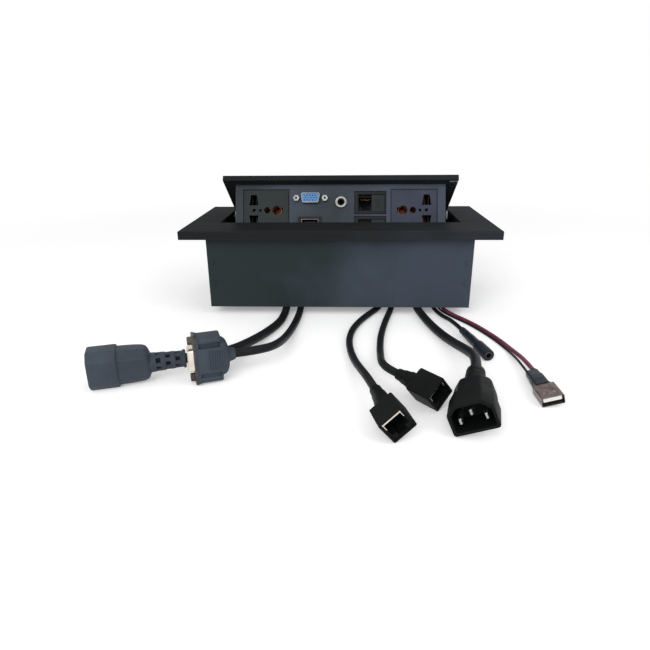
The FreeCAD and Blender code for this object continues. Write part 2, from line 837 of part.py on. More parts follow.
def module_panel():
    """Folded tray: the leaning front, its rear lip, the flange under the lid and two cheeks."""
    front = block(-panel_x, panel_x, 0, panel_sheet, -panel_slant, 0)
    lip = block(-panel_x, panel_x, 0, panel_lip, -panel_slant, -panel_slant + panel_sheet)
    front = front.fuse(lip)
    for sign in (-1, 1):
        front = front.cut(socket_cutout(sign))
    for level in (0, 1):
        z = net_top_z - level * net_pitch
        front = front.cut(block(net_x - net_width / 2, net_x + net_width / 2, -1, panel_sheet + 0.01,
                                z - net_height / 2, z + net_height / 2))
    vga_hole = d_prism(vga_width + 0.4, vga_height + 0.4, vga_corner, -1, panel_sheet + 1)
    vga_hole.translate(Vec(vga_x, 0, vga_z))
    front = front.cut(vga_hole)
    for side in (-1, 1):
        x = vga_x + side * vga_post_spacing / 2
        front = front.cut(rod(screw_radius + 0.1, (x, -1, vga_z), (x, panel_sheet + 1, vga_z)))
    half_width = hdmi_width / 2 + hdmi_body_wall + 0.1
    half_height = hdmi_height / 2 + hdmi_body_wall + 0.1
    front = front.cut(block(hdmi_x - half_width, hdmi_x + half_width, -1, panel_sheet + 1,
                            hdmi_z - half_height, hdmi_z + half_height))
    front = front.cut(rod(audio_bush_radius + 0.1, (audio_x, -1, audio_z),
                          (audio_x, panel_sheet + 1, audio_z)))
    front = front.cut(block(usb_x - usb_width / 2 - 0.15, usb_x + usb_width / 2 + 0.15, -1, panel_sheet + 1,
                            usb_z - usb_height / 2 - 0.15, usb_z + usb_height / 2 + 0.15))
    front.rotate(Vec(0, 0, 0), Vec(1, 0, 0), panel_lean)
    front.translate(Vec(0, panel_top_y, lid_under))
    flange = block(-panel_x, panel_x, panel_top_y, panel_flange_rear, lid_under - panel_sheet, lid_under)
    cheek = prism_x(cheek_outline(), panel_x - panel_sheet, panel_x)
    body = front.fuse([flange, cheek, mirrored(cheek)])
    body = body.cut(block(-panel_x - 1, panel_x + 1, panel_top_y - 20, bezel_y, lid_under, box_height + 20))
    for x, y in lid_screw_spots():
        body = body.cut(rod(screw_radius + 0.2, (x, y, lid_under - 4), (x, y, lid_under + 1)))
    for y, z in hinge_screw_spots():
        body = body.cut(rod(screw_radius + 0.1, (-wall_x, y, z), (wall_x, y, z)))
    stop_axis = (hinge_y + stop_closed_y, hinge_z + stop_closed_z)
    body = body.cut(rod(stop_radius * 0.6, (-wall_x, *stop_axis), (wall_x, *stop_axis)))
    return opened(body.removeSplitter())


def hinge_screw_spots():
    """Screws through each cheek into its hinge block, as (y, z) in the closed pose."""
    z = hinge_z - hinge_screw_drop
    first = hinge_block_front + hinge_screw_start
    return [(first, z), (first + hinge_screw_pitch, z)]


def hinge_blocks():
    """Blocks outside the cheeks that turn on the dowels."""
    body = block(hinge_block_x, hinge_block_x + hinge_block_width, hinge_block_front,
                 hinge_y + hinge_block_rear,
                 hinge_z - hinge_block_drop, lid_under + lid_pocket - 0.2)
    low_rear = edges_along(body, Vec(1, 0, 0), lambda middle: middle.z < hinge_z)
    body = body.makeFillet(hinge_block_corner, low_rear)
    body = body.cut(rod(pin_radius + pin_play, (0, hinge_y, hinge_z), (wall_x, hinge_y, hinge_z)))
    for y, z in hinge_screw_spots():
        body = body.cut(rod(screw_radius, (panel_x - 1, y, z),
                            (panel_x + hinge_screw_reach + hinge_screw_room, y, z)))
    return [opened(body), opened(mirrored(body))]


def hinge_screws():
    """Screws from inside each cheek into its hinge block."""
    bodies = []
    for y, z in hinge_screw_spots():
        fastener = screw((panel_x - panel_sheet, y, z), (1, 0, 0), panel_sheet + hinge_screw_reach,
                         hinge_screw_head_radius, hinge_screw_head_height)
        bodies.append(opened(fastener))
        bodies.append(opened(mirrored(fastener)))
    return bodies


def lid_screws():
    """Screws up through the panel's flange into the lid."""
    return [opened(screw((x, y, lid_under - panel_sheet), (0, 0, 1), panel_sheet + lid_screw_reach - 0.2))
            for x, y in lid_screw_spots()]


def stop_studs():
    """Studs on the cheeks that meet the underside of the bezel when the module is fully open."""
    y = hinge_y + stop_closed_y
    z = hinge_z + stop_closed_z
    stud = rod(stop_radius, (panel_x, y, z), (opening_x + collar_wall - 0.2, y, z))
    tail = rod(stop_radius * 0.6, (panel_x - panel_sheet - 0.8, y, z), (panel_x, y, z))
    stud = stud.fuse(tail).removeSplitter()
    return [opened(stud), opened(mirrored(stud))]


def striker():
    """Plate under the lid's edge that meets the latch plunger."""
    middle = latch_y + striker_shift
    plate = block(lid_x - striker_width - striker_edge, lid_x - striker_edge,
                  middle - striker_length / 2, middle + striker_length / 2,
                  lid_under - striker_sheet, lid_under)
    return opened(plate)


def socket_cutout(sign):
    """The panel's cut-out for one universal socket."""
    x = sign * socket_x
    return block(x - socket_width / 2, x + socket_width / 2, -1, panel_sheet + 0.01,
                 socket_z - socket_height / 2, socket_z + socket_height / 2)


def socket_holes(sign, y0, y1):
    """The holes of a universal socket's face, as tools to cut with."""
    x = sign * socket_x
    line = socket_z + socket_line
    tools = []
    for updown in (-1, 1):
        near = line + updown * slot_near
        far = line + updown * slot_far
        u = x + sign * slot_u
        tools.append(prism_y([(u - slot_near_half, near), (u + slot_near_half, near),
                              (u + slot_far_half, far), (u - slot_far_half, far)], y0, y1))
    for u, radius in zip(small_hole_u, small_hole_radius):
        tools.append(rod(radius, (x + sign * u, y0, line), (x + sign * u, y1, line)))
    u = x + sign * round_hole_u
    tools.append(rod(round_hole_radius, (u, y0, line), (u, y1, line)))
    u = x + sign * earth_hole_u
    tools.append(rod(earth_hole_radius, (u, y0, line), (u, y1, line)))
    far = x - sign * earth_slot_end
    tools.append(block(min(u, far), max(u, far), y0, y1, line - earth_slot_half, line + earth_slot_half))
    return tools


def socket_face(sign):
    """Face of a universal socket, flush with the panel, with a flange behind it."""
    x = sign * socket_x
    half_width = socket_width / 2 - socket_groove
    half_height = socket_height / 2 - socket_groove
    face = block(x - half_width, x + half_width, 0, panel_sheet,
                 socket_z - half_height, socket_z + half_height)
    face = face.makeFillet(0.8, edges_along(face, Vec(0, 1, 0), lambda middle: True))
    ledge_x = socket_width / 2 + socket_ledge
    ledge_z = socket_height / 2 + socket_ledge
    face = face.fuse(block(x - ledge_x, x + ledge_x, panel_sheet, socket_back,
                           socket_z - ledge_z, socket_z + ledge_z))
    for tool in socket_holes(sign, -1, socket_back + 1):
        face = face.cut(tool)
    return on_panel(face.removeSplitter())


def socket_chambers(sign):
    """The three hollows of a socket's rear body: two for the live slots and one for earth."""
    x = sign * socket_x
    line = socket_z + socket_line
    end = socket_back + contact_depth + chamber_end
    tools = []
    for updown in (-1, 1):
        u = x + sign * slot_u
        middle = line + updown * (slot_near + slot_far) / 2
        tools.append(block(u - chamber_half_width, u + chamber_half_width, socket_back, end,
                           middle - chamber_half_height, middle + chamber_half_height))
    outer = x + sign * earth_chamber_near
    inner = x - sign * (earth_slot_end + earth_chamber_margin)
    tools.append(block(min(outer, inner), max(outer, inner), socket_back, end,
                       line - earth_chamber_half, line + earth_chamber_half))
    return tools


def socket_body(sign):
    """Rear body of a universal socket."""
    x = sign * socket_x
    body = block(x - socket_body_width / 2, x + socket_body_width / 2, socket_back,
                 socket_back + socket_body_depth, socket_z + socket_line - socket_body_height / 2,
                 socket_z + socket_line + socket_body_height / 2)
    body = body.makeFillet(1.5, edges_along(body, Vec(0, 1, 0), lambda middle: True))
    for tool in socket_chambers(sign):
        body = body.cut(tool)
    return on_panel(body.removeSplitter())


def socket_contacts(sign):
    """Sprung contacts: two folded leaves behind the live slots and a double clip for earth."""
    x = sign * socket_x
    line = socket_z + socket_line
    start = socket_back + contact_inset
    end = socket_back + contact_depth + chamber_end - contact_play
    pieces = []
    for updown in (-1, 1):
        u = x + sign * slot_u
        middle = line + updown * (slot_near + slot_far) / 2
        half = contact_gap / 2
        leaves = block(u - half - contact_sheet, u + half + contact_sheet, start, end,
                       middle - contact_height / 2, middle + contact_height / 2)
        leaves = leaves.cut(block(u - half, u + half, start - 1, end - contact_sheet,
                                  middle - contact_height, middle + contact_height))
        pieces.append(on_panel(leaves))
    clip = None
    for u, radius in ((round_hole_u, round_hole_radius), (earth_hole_u, earth_hole_radius)):
        centre = x + sign * u
        inner = radius - contact_grip
        tube = rod(inner + contact_sheet, (centre, start, line), (centre, end, line))
        tube = tube.cut(rod(inner, (centre, start - 1, line), (centre, end - contact_sheet, line)))
        tube = tube.cut(block(centre - contact_slit, centre + contact_slit, start - 1, end - contact_sheet,
                              line, line + 2 * radius))
        clip = tube if clip is None else clip.fuse(tube)
    left = min(x + sign * round_hole_u, x + sign * earth_hole_u)
    right = max(x + sign * round_hole_u, x + sign * earth_hole_u)
    clip = clip.fuse(block(left, right, end - contact_sheet, end,
                           line - contact_bridge, line + contact_bridge))
    pieces.append(on_panel(clip.removeSplitter()))
    return pieces


def vga_shell():
    """Nickel D-shaped collar of the screen socket with its flange behind the panel."""
    collar = d_prism(vga_width, vga_height, vga_corner, -vga_front, panel_sheet + vga_flange)
    flange = block(-vga_flange_width / 2, vga_flange_width / 2, panel_sheet, panel_sheet + vga_flange,
                   -vga_flange_height / 2, vga_flange_height / 2)
    flange = flange.makeFillet(1.0, edges_along(flange, Vec(0, 1, 0), lambda middle: True))
    body = collar.fuse(flange)
    inner = d_prism(vga_width - 2 * vga_wall, vga_height - 2 * vga_wall, vga_corner - vga_wall,
                    -vga_front - 1, panel_sheet + vga_flange + 1)
    body = body.cut(inner)
    for side in (-1, 1):
        x = side * vga_post_spacing / 2
        body = body.cut(rod(screw_radius + 0.1, (x, 0, 0), (x, panel_sheet + 2, 0)))
    body.translate(Vec(vga_x, 0, vga_z))
    return on_panel(body.removeSplitter())


def vga_insert():
    """Blue insert with fifteen holes, and the moulded base behind it."""
    front = -vga_front + vga_insert_back
    body = d_prism(vga_width - 2 * vga_wall - 0.1, vga_height - 2 * vga_wall - 0.1, vga_corner - vga_wall,
                   front, panel_sheet + vga_flange)
    base = block(-vga_width / 2, vga_width / 2, panel_sheet + vga_flange, panel_sheet + vga_insert_depth,
                 -vga_height / 2, vga_height / 2)
    body = body.fuse(base)
    for row in (-1, 0, 1):
        shift = vga_pin_pitch / 2 if row == 0 else 0.0
        for column in range(5):
            x = (column - 2) * vga_pin_pitch + shift - vga_pin_pitch / 4
            z = row * vga_row_pitch
            body = body.cut(rod(vga_pin_radius, (x, front - 1, z), (x, front + 4, z)))
    body.translate(Vec(vga_x, 0, vga_z))
    return on_panel(body.removeSplitter())


def hexagon(radius, y0, y1):
    """A six-sided bar along Y."""
    turns = [math.radians(60 * i) for i in range(6)]
    return prism_y([(radius * math.cos(turn), radius * math.sin(turn)) for turn in turns], y0, y1)


def vga_jackscrews():
    """Two hollow hexagon posts either side of the screen socket."""
    pieces = []
    for side in (-1, 1):
        post = hexagon(vga_post_radius, -vga_post_front, 0)
        post = post.fuse(rod(screw_radius, (0, 0, 0), (0, vga_post_tail, 0)))
        post = post.cut(rod(1.15, (0, -vga_post_front - 1, 0), (0, 1.0, 0)))
        post.translate(Vec(vga_x + side * vga_post_spacing / 2, 0, vga_z))
        pieces.append(on_panel(post.removeSplitter()))
    return pieces


def hdmi_outline(width, height, bevel):
    """The video socket's outline, with its two lower corners cut."""
    return [(-width / 2, height / 2), (width / 2, height / 2), (width / 2, -height / 2 + bevel),
            (width / 2 - bevel, -height / 2), (-width / 2 + bevel, -height / 2),
            (-width / 2, -height / 2 + bevel)]


def hdmi_housing():
    """Surround of the video socket, its body behind the panel and its tongue."""
    surround = block(-hdmi_surround_width / 2, hdmi_surround_width / 2, -hdmi_proud, 0,
                     -hdmi_surround_height / 2, hdmi_surround_height / 2)
    surround = surround.makeFillet(0.9, edges_along(surround, Vec(0, 1, 0), lambda middle: True))
    half_width = hdmi_width / 2 + hdmi_body_wall
    half_height = hdmi_height / 2 + hdmi_body_wall
    body = surround.fuse(block(-half_width, half_width, 0, hdmi_depth + 2.0, -half_height, half_height))
    body = body.cut(prism_y(hdmi_outline(hdmi_width + 0.1, hdmi_height + 0.1, hdmi_bevel), -5, hdmi_depth))
    tongue = block(-hdmi_tongue_width / 2, hdmi_tongue_width / 2, hdmi_tongue_start, hdmi_depth + 1.0,
                   -hdmi_tongue_height / 2 + 0.3, hdmi_tongue_height / 2 + 0.3)
    body = body.fuse(tongue)
    body.translate(Vec(hdmi_x, 0, hdmi_z))
    return on_panel(body.removeSplitter())


def hdmi_shell():
    """Bright collar inside the video socket."""
    shell = prism_y(hdmi_outline(hdmi_width, hdmi_height, hdmi_bevel), -hdmi_proud - 0.3, hdmi_depth - 0.3)
    inner = prism_y(hdmi_outline(hdmi_width - 2 * hdmi_wall, hdmi_height - 2 * hdmi_wall, hdmi_bevel * 0.85),
                    -5, hdmi_depth + 1)
    shell = shell.cut(inner)
    shell.translate(Vec(hdmi_x, 0, hdmi_z))
    return on_panel(shell)


def audio_jack():
    """Sound socket: a moulded body behind the panel with a bush through it."""
    half = audio_body / 2
    body = block(-half, half, panel_sheet, panel_sheet + audio_body_depth, -half, half)
    body = body.fuse(rod(audio_bush_radius, (0, -audio_nut_height + 0.3, 0), (0, panel_sheet, 0)))
    body = body.cut(rod(audio_bore_radius, (0, -5, 0), (0, panel_sheet + audio_body_depth - 2.0, 0)))
    body.translate(Vec(audio_x, 0, audio_z))
    return on_panel(body.removeSplitter())


def audio_nut():
    """Bright ring nut round the sound socket."""
    ring = rod(audio_nut_radius, (0, -audio_nut_height, 0), (0, 0, 0))
    front = [edge for edge in ring.Edges if abs(edge.CenterOfMass.y + audio_nut_height) < 1e-6]
    ring = ring.makeFillet(0.6, front)
    ring = ring.cut(rod(audio_bush_radius + 0.05, (0, -5, 0), (0, 1, 0)))
    for side in (-1, 1):
        ring = ring.cut(block(side * audio_nut_radius - 1.2, side * audio_nut_radius + 1.2,
                              -audio_nut_height - 1, -audio_nut_height + 0.7, -0.6, 0.6))
    ring.translate(Vec(audio_x, 0, audio_z))
    return on_panel(ring)


def usb_port_shell():
    """Bright collar of the charging socket."""
    shell = block(-usb_width / 2, usb_width / 2, -usb_proud, usb_depth, -usb_height / 2, usb_height / 2)
    shell = shell.makeFillet(0.5, edges_along(shell, Vec(0, 1, 0), lambda middle: True))
    shell = shell.cut(block(-usb_width / 2 + usb_wall, usb_width / 2 - usb_wall, -5, usb_depth + 1,
                            -usb_height / 2 + usb_wall, usb_height / 2 - usb_wall))
    shell.translate(Vec(usb_x, 0, usb_z))
    return on_panel(shell)


def usb_port_tongue():
    """Tongue and base inside the charging socket."""
    half_width = usb_width / 2 - usb_wall - 0.05
    half_height = usb_height / 2 - usb_wall - 0.05
    base = block(-half_width, half_width, usb_depth - usb_base, usb_depth, -half_height, half_height)
    low = -half_height + 1.3
    tongue = block(-usb_tongue_width / 2, usb_tongue_width / 2, usb_tongue_start, usb_depth - usb_base,
                   low, low + usb_tongue_height)
    body = base.fuse(tongue).removeSplitter()
    body.translate(Vec(usb_x, 0, usb_z))
    return on_panel(body)


def net_window(y0, y1, margin=0.0):
    """The network socket's window, as a tool, in the socket's own frame."""
    half_width = net_window_width / 2 + margin
    half_height = net_window_height / 2 + margin
    return block(net_window_x - half_width, net_window_x + half_width, y0, y1, -half_height, half_height)


def net_place(shape, level):
    """From a network socket's own frame to its place on the panel."""
    placed = shape.copy()
    placed.translate(Vec(net_x, 0, net_top_z - level * net_pitch))
    return on_panel(placed)


def network_frame(level):
    """Frame of a network socket with a window and the grooves its shutter slides in."""
    half_width = net_width / 2 - net_groove
    half_height = net_height / 2 - net_groove
    front = block(-half_width, half_width, 0, panel_sheet, -half_height, half_height)
    wide = net_width / 2 + net_flange_margin
    flange = block(-wide, wide, panel_sheet, panel_sheet + net_flange,
                   -net_flange_height / 2, net_flange_height / 2)
    body = front.fuse(flange).cut(net_window(-1, panel_sheet + net_flange + 1))
    groove = net_window(shutter_recess, shutter_recess + shutter_sheet + 2 * shutter_play)
    tall = net_window_height / 2 + shutter_tongue + shutter_play
    groove = groove.fuse(block(net_window_x - net_window_width / 2, net_window_x + net_window_width / 2,
                               shutter_recess, shutter_recess + shutter_sheet + 2 * shutter_play,
                               -tall, tall))
    return net_place(body.cut(groove).removeSplitter(), level)


def network_jack(level):
    """Jack behind a network socket's window, with the mouth of its port."""
    start = panel_sheet + net_flange
    body = block(net_port_x - net_jack_width / 2, net_port_x + net_jack_width / 2, start,
                 start + net_jack_depth, -net_jack_height / 2, net_jack_height / 2)
    mouth = block(net_port_x - net_port_width / 2, net_port_x + net_port_width / 2, start - 1,
                  start + net_port_depth, -net_port_height / 2 + 0.8, net_port_height / 2 + 0.8)
    latch = block(net_port_x - net_latch_width / 2, net_port_x + net_latch_width / 2, start - 1,
                  start + net_port_depth, -net_port_height / 2 + 0.8 - net_latch_height, 0)
    return net_place(body.cut(mouth).cut(latch).removeSplitter(), level)


def network_shutter(level):
    """Sliding dust shutter, drawn aside from the port."""
    right = net_window_x + net_window_width / 2 - shutter_play
    left = right - shutter_width
    start = shutter_recess + shutter_play
    plate = block(left, right, start, start + shutter_sheet,
                  -net_window_height / 2 - shutter_tongue, net_window_height / 2 + shutter_tongue)
    for i in range(3):
        x = left + 3.2 + i * 1.6
        plate = plate.fuse(block(x, x + 0.7, start - shutter_grip, start, -4.0, 4.0))
    return net_place(plate.removeSplitter(), level)


def plug_outline(width, height, bevel):
    """A mains plug's outline with its two upper corners cut, in (x, z)."""
    return [(-width / 2, -height / 2), (width / 2, -height / 2), (width / 2, height / 2 - bevel),
            (width / 2 - bevel, height / 2), (-width / 2 + bevel, height / 2),
            (-width / 2, height / 2 - bevel)]


def mains_plug(route, roll):
    """Mains plug: a ringed strain relief, a body and a shroud that is open at the front."""
    relief_end = plug_relief
    body_end = relief_end + plug_body
    mouth = body_end + plug_shroud
    relief = taper(plug_relief_tip, plug_relief_radius, (0, 0, 0), (0, relief_end, 0))
    for ring in range(ring_count):
        y = ring_start + ring * ring_pitch
        share = (y + ring_width / 2) / relief_end
        radius = plug_relief_tip + (plug_relief_radius - plug_relief_tip) * share
        groove = rod(radius + ring_depth, (0, y, 0), (0, y + ring_width, 0))
        groove = groove.cut(rod(radius - ring_depth, (0, y, 0), (0, y + ring_width, 0)))
        groove = groove.cut(block(-ring_bridge, ring_bridge, y - 1, y + ring_width + 1,
                                  -2 * radius, 2 * radius))
        relief = relief.cut(groove)
    grip_outline = plug_outline(plug_width - 2 * plug_step, plug_height - 2 * plug_step, plug_bevel)
    grip = prism_y(grip_outline, relief_end, body_end + 1)
    back = [edge for edge in grip.Edges if abs(edge.CenterOfMass.y - relief_end) < 1e-6]
    grip = grip.makeChamfer(plug_shoulder, back)
    shroud = prism_y(plug_outline(plug_width, plug_height, plug_bevel), body_end, mouth)
    corners = edges_along(shroud, Vec(0, 1, 0), lambda middle: True)
    shroud = shroud.makeFillet(plug_corner, corners)
    inner = prism_y(plug_outline(plug_width - 2 * plug_wall, plug_height - 2 * plug_wall, plug_bevel - 0.8),
                    mouth - plug_cavity, mouth + 1)
    shroud = shroud.cut(inner)
    body = relief.fuse([grip, shroud]).removeSplitter()
    return along_lead(body, route, roll)


def mains_pins(route, roll):
    """Three flat pins in a plug's shroud, the middle one nearer the cut corners."""
    mouth = plug_relief + plug_body + plug_shroud
    root = mouth - plug_cavity
    spots = ((-plug_pin_spacing / 2, -plug_pin_offset / 2), (0.0, plug_pin_offset / 2),
             (plug_pin_spacing / 2, -plug_pin_offset / 2))
    pieces = []
    for x, z in spots:
        pin = block(x - plug_pin_sheet / 2, x + plug_pin_sheet / 2, root, mouth - plug_pin_tip,
                    z - plug_pin_width / 2, z + plug_pin_width / 2)
        tip = [edge for edge in pin.Edges if abs(edge.CenterOfMass.y - mouth + plug_pin_tip) < 1e-6]
        pin = pin.makeChamfer(0.4, tip)
        pieces.append(along_lead(pin, route, roll))
    return pieces


def vga_hood():
    """Hood of the screen lead, standing on edge, with a wing over each screw."""
    start = hood_stub
    body = block(-hood_width / 2, hood_width / 2, start, start + hood_length,
                 -hood_body_height / 2, hood_body_height / 2)
    back = [edge for edge in body.Edges if abs(edge.CenterOfMass.y - start) < 1e-6]
    body = body.makeChamfer(hood_back_bevel, back)
    wing_width = hood_width - 2 * hood_wing_inset
    wing = block(-wing_width / 2, wing_width / 2, start + hood_length - hood_wing_length, start + hood_length,
                 -hood_height / 2, hood_height / 2)
    wing = wing.makeFillet(hood_bevel, edges_along(wing, Vec(0, 1, 0), lambda middle: True))
    body = body.fuse(wing)
    groove = block(hood_width / 2 - hood_groove_depth, hood_width, start + hood_length - hood_wing_length,
                   start + hood_length - hood_groove_margin, hood_groove_inner, hood_groove_outer)
    for turn in (0, 180):
        for across in (0, 1):
            tool = groove.mirror(Vec(0, 0, 0), Vec(0, 0, 1)) if across else groove.copy()
            tool.rotate(Vec(0, 0, 0), Vec(0, 1, 0), turn)
            body = body.cut(tool)
    for rib in range(6):
        y = start + hood_rib_start + rib * hood_rib_pitch
        cut = block(hood_width / 2 - hood_rib_depth, hood_width, y, y + hood_rib_width,
                    -hood_rib_half, hood_rib_half)
        body = body.cut([cut, mirrored(cut)])
    body = body.fuse(taper(hood_stub_radius - 0.8, hood_stub_radius, (0, 0, 0), (0, start + 1.0, 0)))
    return along_lead(body.removeSplitter(), vga_route)


def vga_lead_socket():
    """Nickel front of the screen lead: flange, D-shaped collar and two screw posts."""
    start = hood_stub + hood_length
    flange = block(-vga_flange_height / 2, vga_flange_height / 2, start, start + 1.0,
                   -hood_flange_height / 2, hood_flange_height / 2)
    flange = flange.makeFillet(1.6, edges_along(flange, Vec(0, 1, 0), lambda middle: True))
    collar = d_prism(vga_width, vga_height, vga_corner, start + 1.0, start + hood_shell_front)
    collar.rotate(Vec(0, 0, 0), Vec(0, 1, 0), 90)
    body = flange.fuse(collar)
    hollow = d_prism(vga_width - 2 * vga_wall, vga_height - 2 * vga_wall, vga_corner - vga_wall,
                     start + hood_shell_front - 0.9, start + hood_shell_front + 1)
    hollow.rotate(Vec(0, 0, 0), Vec(0, 1, 0), 90)
    body = body.cut(hollow)
    for side in (-1, 1):
        post = hexagon(vga_post_radius, start + 1.0, start + 1.0 + vga_post_front)
        post = post.cut(rod(1.15, (0, start, 0), (0, start + 10, 0)))
        post.translate(Vec(0, 0, side * hood_post_spacing / 2))
        body = body.fuse(post)
    return along_lead(body.removeSplitter(), vga_route)


def network_coupler(route, relief_length):
    """Socket on a network lead: a flared strain relief and a square body with a port."""
    start = relief_length
    front = start + coupler_length
    relief = taper(coupler_relief_back, coupler_relief_front, (0, 0, 0), (0, start, 0))
    body = block(-coupler_width / 2, coupler_width / 2, start, front, -coupler_height / 2, coupler_height / 2)
    body = body.makeFillet(coupler_edge, edges_along(body, Vec(0, 1, 0), lambda middle: True))
    back = [edge for edge in body.Edges if abs(edge.CenterOfMass.y - start) < 1e-6]
    body = body.makeChamfer(0.8, back)
    body = body.fuse(relief)
    mouth = block(-net_port_width / 2, net_port_width / 2, front - coupler_port_depth, front + 1,
                  -net_port_height / 2 + 1.2, net_port_height / 2 + 1.2)
    latch = block(-net_latch_width / 2, net_latch_width / 2, front - coupler_port_depth, front + 1,
                  -net_port_height / 2 + 1.2 - net_latch_height, 0)
    body = body.cut(mouth).cut(latch)
    return along_lead(body.removeSplitter(), route, coupler_roll)


def audio_lead_socket():
    """Socket on the sound lead: a strain relief, a neck and a round body with a bore."""
    neck_start = inline_relief
    body_start = neck_start + inline_neck
    front = body_start + inline_length
    relief = taper(inline_relief_radius, inline_neck_radius - 0.6, (0, 0, 0), (0, neck_start, 0))
    neck = taper(inline_neck_radius - 0.2, inline_neck_radius, (0, neck_start, 0), (0, body_start, 0))
    body = rod(inline_radius, (0, body_start, 0), (0, front, 0))
    ends = [edge for edge in body.Edges if isinstance(edge.Curve, Part.Circle)]
    body = body.makeFillet(0.9, ends)
    body = relief.fuse([neck, body])
    body = body.cut(rod(audio_bore_radius, (0, front - inline_bore_depth, 0), (0, front + 1, 0)))
    return along_lead(body.removeSplitter(), audio_route)


def usb_boot():
    """Moulded boot behind the charging lead's socket, round two wires."""
    body = block(-usb_boot_width / 2, usb_boot_width / 2, 0, usb_boot_length,
                 -usb_boot_height / 2 + 0.3, usb_boot_height / 2 - 0.3)
    body = body.makeFillet(1.2, edges_along(body, Vec(0, 1, 0), lambda middle: True))
    return along_lead(body, usb_red_route, usb_roll, usb_boot_offset)


def usb_lead_socket():
    """Bright shell of the charging lead's socket."""
    start = usb_boot_length
    end = start + usb_shell_length
    shell = block(-usb_shell_width / 2, usb_shell_width / 2, start, end,
                  -usb_shell_height / 2, usb_shell_height / 2)
    shell = shell.makeFillet(0.5, edges_along(shell, Vec(0, 1, 0), lambda middle: True))
    hollow = block(-usb_shell_width / 2 + usb_shell_wall, usb_shell_width / 2 - usb_shell_wall,
                   start + usb_shell_base, end + 1, -usb_shell_height / 2 + usb_shell_wall,
                   usb_shell_height / 2 - usb_shell_wall)
    return along_lead(shell.cut(hollow), usb_red_route, usb_roll, usb_boot_offset)


def usb_lead_tongue():
    """White tongue and base in the charging lead's socket."""
    start = usb_boot_length + usb_shell_base
    end = usb_boot_length + usb_shell_length
    base = block(-usb_shell_width / 2 + usb_shell_wall + 0.05, usb_shell_width / 2 - usb_shell_wall - 0.05,
                 start, start + usb_shell_base, -usb_shell_height / 2 + usb_shell_wall + 0.05,
                 usb_shell_height / 2 - usb_shell_wall - 0.05)
    tongue = block(-usb_shell_tongue_width / 2, usb_shell_tongue_width / 2, start, end - 1.0,
                   0.2, 0.2 + usb_shell_tongue_height)
    return along_lead(base.fuse(tongue).removeSplitter(), usb_red_route, usb_roll, usb_boot_offset)


def inner_lead(name, x, y, z, drop, comb_x, radius):
    """A lead inside the box, from the back of its socket to the rear of the comb."""
    straight, drop_x, drop_y = drop
    low_x = comb_x + (drop_x - comb_x) * inner_low_share
    points = [panel_point(x, y, z), panel_point(x, y + straight, z), (drop_x, drop_y, inner_drop_z),
              (low_x, drop_y - inner_low_step, inner_low_z), (comb_x, inner_turn_y, comb_z),
              comb_start(comb_x)]
    return lead(name, points, radius)


def inner_leads():
    """The leads inside the box, slack between the module and the comb."""
    mains_y = socket_back + socket_body_depth
    vga_y = panel_sheet + vga_insert_depth
    net_y = panel_sheet + net_flange + net_jack_depth
    port_x = net_x + net_port_x
    return [inner_lead("inner mains left", -socket_x, mains_y, socket_z, inner_mains_left,
                       comb_mains_left, mains_radius),
            inner_lead("inner screen", vga_x, vga_y, vga_z, inner_vga, comb_vga, vga_cord_radius),
            inner_lead("inner network upper", port_x, net_y, net_top_z, inner_net_upper,
                       comb_net_left, net_cord_radius),
            inner_lead("inner network lower", port_x, net_y, net_top_z - net_pitch, inner_net_lower,
                       comb_net_right, net_cord_radius),
            inner_lead("inner mains right", socket_x, mains_y, socket_z, inner_mains_right,
                       comb_mains_right, mains_radius)]


